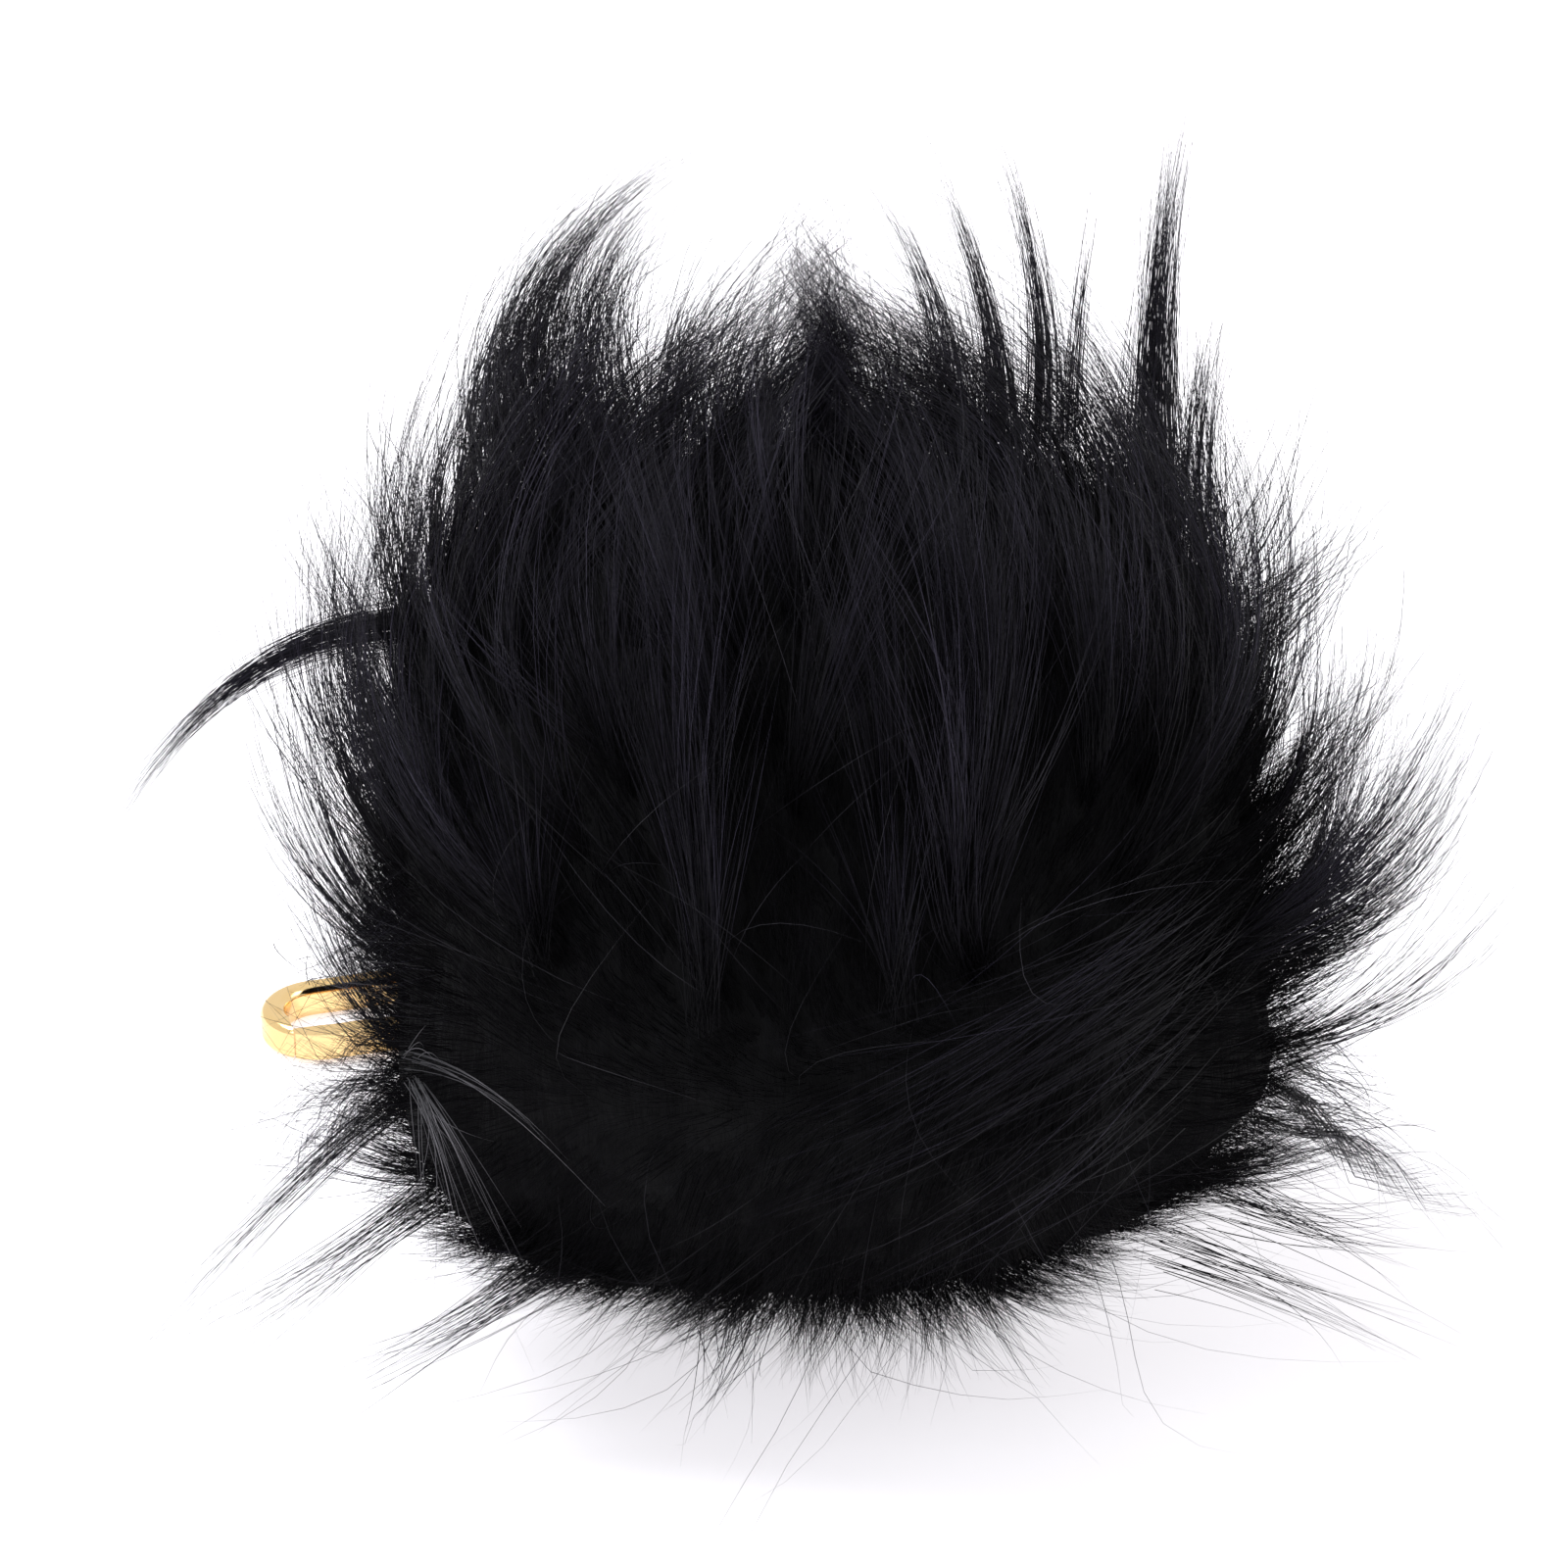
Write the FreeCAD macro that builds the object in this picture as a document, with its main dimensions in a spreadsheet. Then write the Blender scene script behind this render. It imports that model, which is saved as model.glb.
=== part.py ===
"""Fur ball bag charm with a swivel clasp, as a parametric document (millimetres, +Z up).

The origin is the centre of the flat patch of pile that the ball rests on, and the metal lies on the same
surface behind the ball, which is towards +Y. The clasp points to -X.
"""

import FreeCAD, Part
import math
import os

import Sketcher
from FreeCAD import Placement, Rotation, Vector

X_AXIS = Vector(1, 0, 0)
Y_AXIS = Vector(0, 1, 0)
Z_AXIS = Vector(0, 0, 1)
ALONG_X = Rotation(Y_AXIS, 90)
ALONG_Y = Rotation(X_AXIS, -90)

SIZES = [
    ("pile_radius", 60.0, "fur ball, to the tips of its pile"),
    ("rest_depth", 5.0, "how far the pile is pressed in where it rests"),
    ("hide_radius", 26.0, "outside of the hide"),
    ("hide_wall", 1.2, "thickness of the hide"),
    ("hide_height", 50.0, "centre of the hide above the rest"),
    ("layer_gap", 0.2, "between hide, pile and stuffing"),
    ("neck_radius", 4.9, "outside of the hide's drawn-up neck"),
    ("neck_length", 5.0, "neck beyond the round of the hide"),
    ("neck_blend", 1.5, "round where the neck leaves the ball"),
    ("thread_wire", 0.5, "gathering thread"),
    ("thread_turns", 3.0, "turns of the thread round the neck"),
    ("thread_pitch", 0.6, "from one turn of the thread to the next"),
    ("thread_play", 0.05, "round each thread"),
    ("channel_gap", 0.4, "between the thread and the parted pile"),
    ("tab_width", 6.0, "leather strip"),
    ("tab_layer", 1.0, "one layer of the strip"),
    ("tab_slit", 0.2, "between the strip's two layers"),
    ("tab_tail", 9.0, "strip inside the round of the hide"),
    ("tab_blend", 1.2, "pinch between the strip's fold and its flat"),
    ("stitch_wire", 0.4, "stitching thread"),
    ("stitch_length", 1.8, "one stitch"),
    ("stitch_pitch", 2.6, "from one stitch to the next"),
    ("stitch_inset", 1.3, "from the strip's edge to a row of stitches"),
    ("stitch_start", 4.2, "from the D-ring's bar to the nearest hole"),
    ("stitch_count", 3.0, "stitches in one row"),
    ("bar_reach", 58.6, "D-ring's bar behind the origin"),
    ("bar_height", 4.0, "D-ring's bar above the rest"),
    ("ring_play", 0.2, "between the strip's fold and the bar"),
    ("d_wire", 1.8, "D-ring wire"),
    ("d_radius", 5.0, "D-ring's bow, on its centre line"),
    ("d_corner", 1.5, "D-ring's corners, on their centre line"),
    ("d_leg", 0.5, "D-ring's straight legs"),
    ("jump_wire", 1.4, "jump ring wire"),
    ("jump_radius", 3.2, "jump ring, on its centre line"),
    ("butt_gap", 0.1, "cut in the jump ring and in each link"),
    ("link_wire", 1.4, "chain wire"),
    ("link_width", 4.2, "link across, on its centre line"),
    ("link_length", 8.0, "link end to end, on its centre line"),
    ("chain_play", 0.3, "between the wires of two links"),
    ("eye_play", 0.6, "between the wires of the last link and the eye"),
    ("eye_wire", 1.6, "swivel eye wire"),
    ("eye_radius", 3.3, "swivel eye, on its centre line"),
    ("stem_radius", 1.1, "swivel stem"),
    ("stem_neck", 1.0, "stem between the eye and the collar"),
    ("swivel_play", 0.05, "round the stem, and under its head"),
    ("head_radius", 1.9, "peened head of the stem"),
    ("head_height", 1.0, "thickness of the head"),
    ("head_play", 0.2, "round the head"),
    ("collar_radius", 2.05, "collar that holds the stem"),
    ("hook_length", 34.5, "clasp from its collar to its nose"),
    ("hook_width", 14.0, "clasp across"),
    ("hook_side", 2.5, "side of the hook"),
    ("hook_nose", 3.1, "nose of the hook"),
    ("hook_base", 6.0, "collar and base of the hook"),
    ("hook_shoulder", 2.4, "from the collar's end to the oval"),
    ("hook_height", 4.2, "thickness of the hook"),
    ("hook_round", 1.1, "rounding of the hook's edges"),
    ("pivot_along", 10.0, "gate pin from the collar's end"),
    ("pivot_aside", 5.0, "gate pin from the clasp's axis"),
    ("cheek_radius", 2.7, "cheeks that hold the pin"),
    ("barrel_radius", 2.2, "gate's barrel round the pin"),
    ("gate_reach", 21.7, "gate's tip from the pin"),
    ("gate_gap", 0.15, "round the gate's tip and barrel"),
    ("gate_height", 2.0, "gate between the cheeks"),
    ("gate_side_gap", 0.1, "between the gate and a cheek"),
    ("arm_height", 3.2, "gate beyond the cheeks"),
    ("knob_along", 6.4, "thumb knob from the pin"),
    ("knob_radius", 1.7, "thumb knob"),
    ("pin_radius", 0.6, "gate pin"),
    ("pin_play", 0.05, "between the pin and the gate"),
    ("spring_wire", 0.26, "return spring wire"),
    ("spring_radius", 1.05, "return spring, on its centre line"),
    ("spring_turns", 3.0, "turns of the return spring"),
    ("spring_pitch", 0.3, "from one turn to the next"),
    ("spring_well", 1.5, "radius of the well that holds the spring"),
    ("spring_end", 0.03, "between the spring and the floor of its well"),
]

# How each piece of the chain lies: its heading on the rest surface, and which long side it leans on.
JUMP_HEADING = 150.0
LINK_HEADINGS = (152.0, 164.0, 178.0)
LINK_LEAN = 45.0
CLASP_HEADING = 198.0

# Where the gate pin stands, and the sectors round it, in degrees from the direction of the nose: the
# hook's open mouth, the gate's arm within it, and the slot between the cheeks that the gate turns in.
PIVOT = ("sizes.pivot_along", "sizes.pivot_aside")
MOUTH_FROM, MOUTH_SWEEP = -12.0, 72.0
ARM_FROM, ARM_SWEEP = -2.0, 52.0
SLOT_FROM, SLOT_SWEEP = -70.0, 130.0
SPRING_DEPTH = "(sizes.spring_turns * sizes.spring_pitch + 2 * sizes.spring_wire)"

# How far a cutting shape runs on past the face that it cuts.
PAST = 1.0

doc = FreeCAD.newDocument("fur_ball_charm")
sheet = doc.addObject("Spreadsheet::Sheet", "sizes")
for row, (alias, value, note) in enumerate(SIZES, start=1):
    sheet.set(f"A{row}", note)
    sheet.set(f"B{row}", str(value))
    sheet.setAlias(f"B{row}", alias)
doc.recompute()


def size(alias):
    """One driving dimension, as a number."""
    return float(sheet.get(alias))


def bind(obj, formulas):
    """Binds properties of an object to formulas of the sheet."""
    for path, formula in formulas.items():
        obj.setExpression(path, formula)


def circle_of(edge):
    """The circle that an edge follows, or None for any other edge."""
    if edge.Degenerated or not isinstance(edge.Curve, Part.Circle):
        return None
    return edge.Curve


class Piece:
    """A body, and short ways to add a bound feature to it."""

    def __init__(self, name):
        self.body = doc.addObject("PartDesign::Body", name)
        self.body.Label = name
        self.count = 0

    def add(self, kind, formulas, at=("0", "0", "0"), turn=Rotation()):
        """A primitive feature, placed by three formulas and turned."""
        self.count += 1
        feature = self.body.newObject(f"PartDesign::{kind}", f"{self.body.Name}_{kind}_{self.count}")
        feature.Placement = Placement(Vector(), turn)
        bind(feature, formulas)
        for axis, formula in zip("xyz", at):
            feature.setExpression(f"Placement.Base.{axis}", formula)
        return feature

    def rod(self, radius, length, at=("0", "0", "0"), turn=Rotation(), cut=False):
        """A cylinder, added or cut."""
        kind = "SubtractiveCylinder" if cut else "AdditiveCylinder"
        return self.add(kind, {"Radius": radius, "Height": length}, at, turn)

    def block(self, sides, at=("0", "0", "0"), cut=False):
        """A box from its lowest corner, added or cut."""
        kind = "SubtractiveBox" if cut else "AdditiveBox"
        return self.add(kind, dict(zip(("Length", "Width", "Height"), sides)), at)

    def ball(self, radius, at=("0", "0", "0"), cut=False):
        """A whole sphere, added or cut."""
        kind = "SubtractiveSphere" if cut else "AdditiveSphere"
        return self.add(kind, {"Radius": radius}, at)

    def bend(self, bend, wire, sweep, at=("0", "0", "0"), turn=Rotation()):
        """A stretch of bent wire: a torus of the given sweep in degrees."""
        formulas = {"Radius1": bend, "Radius2": wire, "Angle3": sweep}
        return self.add("AdditiveTorus", formulas, at, turn)

    def plane(self, role):
        """One of the body's own origin planes."""
        return next(f for f in self.body.Origin.OriginFeatures if f.Role == role)

    def coil(self, radius, wire, pitch, turns, start):
        """Round wire wound about Z: a circle on the XZ plane, swept up a helix."""
        profile = self.body.newObject("Sketcher::SketchObject", f"{self.body.Name}_wire")
        profile.AttachmentSupport = [(self.plane("XZ_Plane"), "")]
        profile.MapMode = "FlatFace"
        circle = profile.addGeometry(Part.Circle(Vector(2, 0, 0), Z_AXIS, 0.3), False)
        across = profile.addConstraint(Sketcher.Constraint("DistanceX", -1, 1, circle, 3, 2.0))
        up = profile.addConstraint(Sketcher.Constraint("DistanceY", -1, 1, circle, 3, 1.0))
        round_it = profile.addConstraint(Sketcher.Constraint("Radius", circle, 0.3))
        for index, formula in ((across, radius), (up, start), (round_it, f"({wire}) / 2")):
            profile.setExpression(f"Constraints[{index}]", formula)
        doc.recompute()
        helix = self.body.newObject("PartDesign::AdditiveHelix", f"{self.body.Name}_helix")
        helix.Profile = profile
        helix.ReferenceAxis = (profile, ["V_Axis"])
        helix.Mode = "pitch-turns-angle"
        bind(helix, {"Pitch": pitch, "Turns": turns})
        return helix

    def round_edges(self, radius, chosen):
        """A fillet on the edges of the last feature that the test chosen picks."""
        doc.recompute()
        base = self.body.Tip
        names = [f"Edge{i}" for i, edge in enumerate(base.Shape.Edges, 1) if chosen(edge)]
        fillet = self.body.newObject("PartDesign::Fillet", f"{self.body.Name}_round_{len(names)}")
        fillet.Base = (base, names)
        fillet.setExpression("Radius", radius)
        return fillet


# Where things stand, worked out from the sheet.
HIDE_CENTRE = Vector(0, 0, size("hide_height"))
BAR_CENTRE = Vector(0, size("bar_reach"), size("bar_height"))
TAB_REACH = (BAR_CENTRE - HIDE_CENTRE).Length
TAB_TURN = Rotation(Z_AXIS, BAR_CENTRE - HIDE_CENTRE)
ON_TAB = Placement(HIDE_CENTRE, TAB_TURN)
TAB_REACH_FORMULA = "sqrt(sizes.bar_reach^2 + (sizes.hide_height - sizes.bar_height)^2)"

D_DEPTH = size("d_corner") + size("d_leg") + size("d_radius")
D_SLOPE = math.asin((size("bar_height") - size("d_wire") / 2) / D_DEPTH)
ON_BAR = Placement(BAR_CENTRE, Rotation(X_AXIS, -math.degrees(D_SLOPE)))

AXIS_HEIGHT = size("link_width") / 2 * math.sin(math.radians(LINK_LEAN)) + size("link_wire") / 2


def lying(near, heading, lean):
    """Placement of a piece of chain: X along its heading from the point near, leaning on one side."""
    turn = Rotation(Z_AXIS, heading).multiply(Rotation(X_AXIS, lean))
    return Placement(near, turn)


def along(point, heading, distance):
    """A point further along a heading."""
    angle = math.radians(heading)
    return point + Vector(math.cos(angle), math.sin(angle), 0) * distance


def lean_of(radius, wire):
    """The lean at which a round ring with its centre at the chain's height touches the rest surface."""
    return math.degrees(math.asin((AXIS_HEIGHT - wire / 2) / radius))


def bow_point():
    """Where the jump ring hangs on the D-ring: the point of the bow at the chain's height, to -X."""
    centre = ON_BAR.multVec(Vector(0, size("d_corner") + size("d_leg"), 0))
    part = (centre.z - AXIS_HEIGHT) / (size("d_radius") * math.sin(D_SLOPE))
    swing = math.acos(part)
    local = Vector(-size("d_radius") * math.sin(swing), size("d_radius") * math.cos(swing), 0)
    return centre + ON_BAR.Rotation.multVec(local)


def spacing(first, second, play="chain_play"):
    """Distance between the centres of two wires that hold each other."""
    return size(first) / 2 + size(second) / 2 + size(play)


BOW_POINT = bow_point()
JUMP_NEAR = along(BOW_POINT, JUMP_HEADING, -spacing("d_wire", "jump_wire"))
JUMP_FAR = along(JUMP_NEAR, JUMP_HEADING, 2 * size("jump_radius"))
ON_JUMP = lying(
    along(JUMP_NEAR, JUMP_HEADING, size("jump_radius")),
    JUMP_HEADING,
    -lean_of(size("jump_radius"), size("jump_wire")),
)


def link_placements():
    """Placements of the chain links, each through the one before, and where the last one ends."""
    near = along(JUMP_FAR, LINK_HEADINGS[0], -spacing("jump_wire", "link_wire"))
    places = []
    for number, heading in enumerate(LINK_HEADINGS):
        places.append(lying(near, heading, LINK_LEAN if number % 2 == 0 else -LINK_LEAN))
        far = along(near, heading, size("link_length"))
        near = along(far, heading, -spacing("link_wire", "link_wire"))
    return places, far


ON_LINKS, CHAIN_END = link_placements()
EYE_NEAR = along(CHAIN_END, CLASP_HEADING, -spacing("link_wire", "eye_wire", "eye_play"))
ON_EYE = lying(EYE_NEAR, CLASP_HEADING, -lean_of(size("eye_radius"), size("eye_wire")))
EYE_TO_COLLAR = 2 * size("eye_radius") + size("eye_wire") / 2 + size("stem_neck")
ON_CLASP = lying(along(EYE_NEAR, CLASP_HEADING, EYE_TO_COLLAR), CLASP_HEADING, 0)


def stuffing_core():
    """Filling of the ball, with room for the end of the strip."""
    piece = Piece("stuffing_core")
    piece.ball("sizes.hide_radius - sizes.hide_wall - sizes.layer_gap")
    width = "sizes.tab_width + 2 * sizes.layer_gap"
    depth = "2 * sizes.tab_layer + sizes.tab_slit + 2 * sizes.layer_gap"
    piece.block(
        (width, depth, "sizes.hide_radius"),
        (f"-({width}) / 2", f"-({depth}) / 2", "sizes.hide_radius - sizes.tab_tail - sizes.layer_gap"),
        cut=True,
    )
    piece.body.Placement = ON_TAB
    return piece.body


def pelt_hide():
    """Hide drawn up to a ball with a neck along Z, as an open shell."""
    piece = Piece("pelt_hide")
    reach = "sizes.hide_radius + sizes.neck_length"
    piece.ball("sizes.hide_radius")
    piece.rod("sizes.neck_radius", reach)
    neck, outside = size("neck_radius"), size("hide_radius")

    def at_neck(edge):
        circle = circle_of(edge)
        return circle and abs(circle.Radius - neck) < 1e-3 and 1 < circle.Center.z < outside

    piece.round_edges("sizes.neck_blend", at_neck)
    piece.ball("sizes.hide_radius - sizes.hide_wall", cut=True)
    piece.rod("sizes.neck_radius - sizes.hide_wall", f"{reach} + {PAST}", cut=True)
    piece.body.Placement = ON_TAB
    return piece.body


def fur_pile():
    """Hair round the hide, flat where it rests and parted where the neck and the strip come out."""
    piece = Piece("fur_pile")
    piece.ball("sizes.pile_radius", ("0", "0", "sizes.pile_radius - sizes.rest_depth"))
    whole = "2 * sizes.pile_radius"
    corner = "-sizes.pile_radius"
    piece.block((whole, whole, "sizes.pile_radius"), (corner, corner, corner), cut=True)
    piece.ball("sizes.hide_radius + sizes.layer_gap", ("0", "0", "sizes.hide_height"), cut=True)
    piece.rod(
        "sizes.neck_radius + sizes.neck_blend + sizes.channel_gap",
        TAB_REACH_FORMULA,
        ("0", "0", "sizes.hide_height"),
        TAB_TURN,
        cut=True,
    )
    return piece.body


def gathering_thread():
    """Thread wound round the hide's neck."""
    piece = Piece("gathering_thread")
    neck_end = "sizes.hide_radius + sizes.neck_length"
    piece.coil(
        "sizes.neck_radius + sizes.thread_wire / 2 + sizes.thread_play",
        "sizes.thread_wire",
        "sizes.thread_pitch",
        "sizes.thread_turns",
        f"{neck_end} - sizes.thread_wire - sizes.thread_turns * sizes.thread_pitch",
    )
    piece.body.Placement = ON_TAB
    return piece.body


def stitch_ends():
    """Formulas of each stitch: its place across the strip, and its two holes along it."""
    for side in (-1, 1):
        across = f"{side} * (sizes.tab_width / 2 - sizes.stitch_inset)"
        for number in range(round(size("stitch_count"))):
            far = f"{TAB_REACH_FORMULA} - sizes.stitch_start - {number} * sizes.stitch_pitch"
            yield across, far, f"{far} - sizes.stitch_length"


def hang_tab():
    """Leather strip folded round the D-ring's bar, with its holes for the stitches."""
    piece = Piece("hang_tab")
    start = "sizes.hide_radius - sizes.tab_tail"
    depth = "2 * sizes.tab_layer + sizes.tab_slit"
    hole = "sizes.d_wire / 2 + sizes.ring_play"
    edge = "-sizes.tab_width / 2"
    piece.block(
        ("sizes.tab_width", depth, f"{TAB_REACH_FORMULA} - ({start})"),
        (edge, f"-({depth}) / 2", start),
    )
    piece.rod(f"{hole} + sizes.tab_layer", "sizes.tab_width", (edge, "0", TAB_REACH_FORMULA), ALONG_X)
    face = size("tab_layer") + size("tab_slit") / 2

    def at_pinch(side):
        box = side.BoundBox
        level = box.YLength < 1e-3 and box.ZLength < 1e-3
        return level and abs(abs(box.YMin) - face) < 1e-3 and box.ZMin > TAB_REACH - 2 * size("d_wire")

    piece.round_edges("sizes.tab_blend", at_pinch)
    through = f"sizes.tab_width + {2 * PAST}"
    piece.rod(hole, through, (f"{edge} - {PAST}", "0", TAB_REACH_FORMULA), ALONG_X, cut=True)
    piece.block(
        (through, "sizes.tab_slit", f"{TAB_REACH_FORMULA} - ({start}) + {PAST}"),
        (f"{edge} - {PAST}", "-sizes.tab_slit / 2", f"{start} - {PAST}"),
        cut=True,
    )
    for across, far, near in stitch_ends():
        for place in (far, near):
            piece.rod(
                "sizes.stitch_wire / 2 + sizes.thread_play",
                f"{depth} + {2 * PAST}",
                (across, f"-({depth}) / 2 - {PAST}", place),
                ALONG_Y,
                cut=True,
            )
    piece.body.Placement = ON_TAB
    return piece.body


def tab_stitching():
    """Stitches that close the fold, each a loop of thread through two holes."""
    piece = Piece("tab_stitching")
    wire = "sizes.stitch_wire / 2"
    out = f"(sizes.tab_layer + sizes.tab_slit / 2 + {wire} + sizes.thread_play)"
    for across, far, near in stitch_ends():
        for place in (far, near):
            piece.rod(wire, f"2 * {out}", (across, f"-{out}", place), ALONG_Y)
            for face in (f"-{out}", out):
                piece.ball(wire, (across, face, place))
        for face in (f"-{out}", out):
            piece.rod(wire, "sizes.stitch_length", (across, face, near))
    piece.body.Placement = ON_TAB
    return piece.body


def d_ring():
    """Wire ring with a straight bar along X, in the strip's fold, and a round bow towards +Y."""
    piece = Piece("d_ring")
    wire = "sizes.d_wire / 2"
    half = "(sizes.d_radius - sizes.d_corner)"
    piece.rod(wire, f"2 * {half}", (f"-{half}", "0", "0"), ALONG_X)
    for side, turn in ((1, -90), (-1, 180)):
        corner = (f"{side} * {half}", "sizes.d_corner", "0")
        piece.bend("sizes.d_corner", wire, "90", corner, Rotation(Z_AXIS, turn))
        piece.rod(wire, "sizes.d_leg", (f"{side} * sizes.d_radius", "sizes.d_corner", "0"), ALONG_Y)
    piece.bend("sizes.d_radius", wire, "180", ("0", "sizes.d_corner + sizes.d_leg", "0"))
    piece.body.Placement = ON_BAR
    return piece.body


def jump_ring():
    """Round wire ring, cut and closed with a butt joint on one side."""
    piece = Piece("jump_ring")
    cut = math.degrees(size("butt_gap") / size("jump_radius"))
    piece.bend(
        "sizes.jump_radius",
        "sizes.jump_wire / 2",
        "360 - sizes.butt_gap / sizes.jump_radius * 180 / pi",
        turn=Rotation(Z_AXIS, 90 + cut / 2),
    )
    piece.body.Placement = ON_JUMP
    return piece.body


def chain_link(number):
    """Oval link along X from the middle of its near end, with the butt joint in one side."""
    piece = Piece(f"chain_link_{number + 1}")
    wire = "sizes.link_wire / 2"
    bend = "sizes.link_width / 2"
    run = "sizes.link_length - sizes.link_width"
    piece.bend(bend, wire, "180", (bend, "0", "0"), Rotation(Z_AXIS, 90))
    for side in (f"-{bend}", bend):
        piece.rod(wire, run, (bend, side, "0"), ALONG_X)
    piece.bend(bend, wire, "180", (f"sizes.link_length - {bend}", "0", "0"), Rotation(Z_AXIS, -90))
    piece.block(
        ("sizes.butt_gap", "2 * sizes.link_wire", "2 * sizes.link_wire"),
        ("(sizes.link_length - sizes.butt_gap) / 2", f"{bend} - sizes.link_wire", "-sizes.link_wire"),
        cut=True,
    )
    piece.body.Placement = ON_LINKS[number]
    return piece.body


def swivel_eye():
    """Eye along X from the middle of its near end, with the stem that turns in the clasp."""
    piece = Piece("swivel_eye")
    piece.bend("sizes.eye_radius", "sizes.eye_wire / 2", "360", ("sizes.eye_radius", "0", "0"))
    to_collar = "2 * sizes.eye_radius + sizes.eye_wire / 2 + sizes.stem_neck"
    seat = f"{to_collar} + sizes.hook_base + sizes.swivel_play"
    piece.rod(
        "sizes.stem_radius", f"{seat} - 2 * sizes.eye_radius", ("2 * sizes.eye_radius", "0", "0"), ALONG_X
    )
    piece.rod("sizes.head_radius", "sizes.head_height", (seat, "0", "0"), ALONG_X)
    head, top = size("head_radius"), EYE_TO_COLLAR + size("hook_base") + size("head_height")

    def at_head(edge):
        circle = circle_of(edge)
        return circle and abs(circle.Radius - head) < 1e-3 and circle.Center.x > top

    piece.round_edges("sizes.head_height / 2", at_head)
    piece.body.Placement = ON_EYE
    return piece.body


def oval_band(piece, height):
    """The hook's closed oval, from the collar's end towards its nose at +X."""
    outer = "(sizes.hook_width / 2)"
    inner = "(sizes.hook_width / 2 - sizes.hook_side)"
    low = f"-({height}) / 2"
    ends = (
        (outer, f"sizes.hook_shoulder + {outer}", f"sizes.hook_length - {outer}", False),
        (inner, f"sizes.hook_base + {inner}", f"sizes.hook_length - sizes.hook_nose - {inner}", True),
    )
    for radius, first, last, cut in ends:
        deep = f"{height} + {2 * PAST}" if cut else height
        bottom = f"{low} - {PAST}" if cut else low
        piece.rod(radius, deep, (first, "0", bottom), cut=cut)
        piece.block((f"{last} - ({first})", f"2 * {radius}", deep), (first, f"-{radius}", bottom), cut=cut)
        piece.rod(radius, deep, (last, "0", bottom), cut=cut)


def level_edges(height):
    """A test for edges that lie in a plane at plus or minus half the height."""
    half = height / 2
    return lambda edge: abs(abs(edge.BoundBox.ZMin) - half) < 1e-3 and edge.BoundBox.ZLength < 1e-3


def clasp_body():
    """Hook with a collar at its base, an open mouth and two cheeks round the gate's barrel."""
    piece = Piece("clasp_body")
    oval_band(piece, "sizes.hook_height")
    piece.round_edges("sizes.hook_round", level_edges(size("hook_height")))
    low = "-sizes.hook_height / 2"
    mouth = {
        "Radius": "sizes.gate_reach + sizes.gate_gap",
        "Height": f"sizes.hook_height + {2 * PAST}",
        "Angle": f"{MOUTH_SWEEP}",
    }
    piece.add("SubtractiveCylinder", mouth, (*PIVOT, f"{low} - {PAST}"), Rotation(Z_AXIS, MOUTH_FROM))
    piece.rod("sizes.cheek_radius", "sizes.hook_height", (*PIVOT, low))
    piece.rod("sizes.collar_radius", "sizes.hook_base", turn=ALONG_X)
    slot = "(sizes.gate_height + 2 * sizes.gate_side_gap)"
    floor = f"-{slot} / 2"
    piece.rod("sizes.barrel_radius + sizes.gate_gap", slot, (*PIVOT, floor), cut=True)
    sweep = {"Radius": f"sizes.cheek_radius + {PAST}", "Height": slot, "Angle": f"{SLOT_SWEEP}"}
    piece.add("SubtractiveCylinder", sweep, (*PIVOT, floor), Rotation(Z_AXIS, SLOT_FROM))
    piece.rod("sizes.pin_radius", f"sizes.hook_height + {2 * PAST}", (*PIVOT, f"{low} - {PAST}"), cut=True)
    piece.rod(
        "sizes.stem_radius + sizes.swivel_play",
        f"sizes.hook_base + {2 * PAST}",
        (f"-{PAST}", "0", "0"),
        ALONG_X,
        cut=True,
    )
    piece.rod(
        "sizes.head_radius + sizes.head_play",
        f"sizes.head_height + {PAST}",
        ("sizes.hook_base", "0", "0"),
        ALONG_X,
        cut=True,
    )
    piece.body.Placement = ON_CLASP
    return piece.body


def gate():
    """Lever that closes the mouth: the part of the oval within its reach, on a barrel round the pin."""
    band = Piece("gate_band")
    oval_band(band, "sizes.arm_height")
    wedge = doc.addObject("Part::Cylinder", "gate_wedge")
    wedge.Placement = Placement(Vector(), Rotation(Z_AXIS, ARM_FROM))
    bind(
        wedge,
        {
            "Radius": "sizes.gate_reach",
            "Height": f"sizes.arm_height + {2 * PAST}",
            "Angle": f"{ARM_SWEEP}",
            "Placement.Base.x": PIVOT[0],
            "Placement.Base.y": PIVOT[1],
            "Placement.Base.z": f"-sizes.arm_height / 2 - {PAST}",
        },
    )
    arm = doc.addObject("Part::Common", "gate_arm")
    arm.Base = band.body
    arm.Tool = wedge
    doc.recompute()
    piece = Piece("gate")
    piece.body.BaseFeature = arm
    doc.recompute()
    half = "sizes.gate_height / 2"
    step = "(sizes.arm_height - sizes.gate_height) / 2"
    for bottom in (half, f"-{half} - {step} - {PAST}"):
        piece.rod("sizes.cheek_radius + sizes.gate_gap", f"{step} + {PAST}", (*PIVOT, bottom), cut=True)
    piece.rod("sizes.barrel_radius", "sizes.gate_height", (*PIVOT, f"-{half}"))
    piece.rod(
        "sizes.knob_radius",
        "sizes.arm_height",
        ("sizes.pivot_along + sizes.knob_along", "sizes.hook_width / 2", "-sizes.arm_height / 2"),
    )
    bore = "sizes.pin_radius + sizes.pin_play"
    piece.rod(bore, f"sizes.gate_height + {2 * PAST}", (*PIVOT, f"-{half} - {PAST}"), cut=True)
    well = f"{SPRING_DEPTH} + {PAST}"
    piece.rod("sizes.spring_well", well, (*PIVOT, f"{half} - {SPRING_DEPTH}"), cut=True)
    piece.body.Placement = ON_CLASP
    return piece.body


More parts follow.
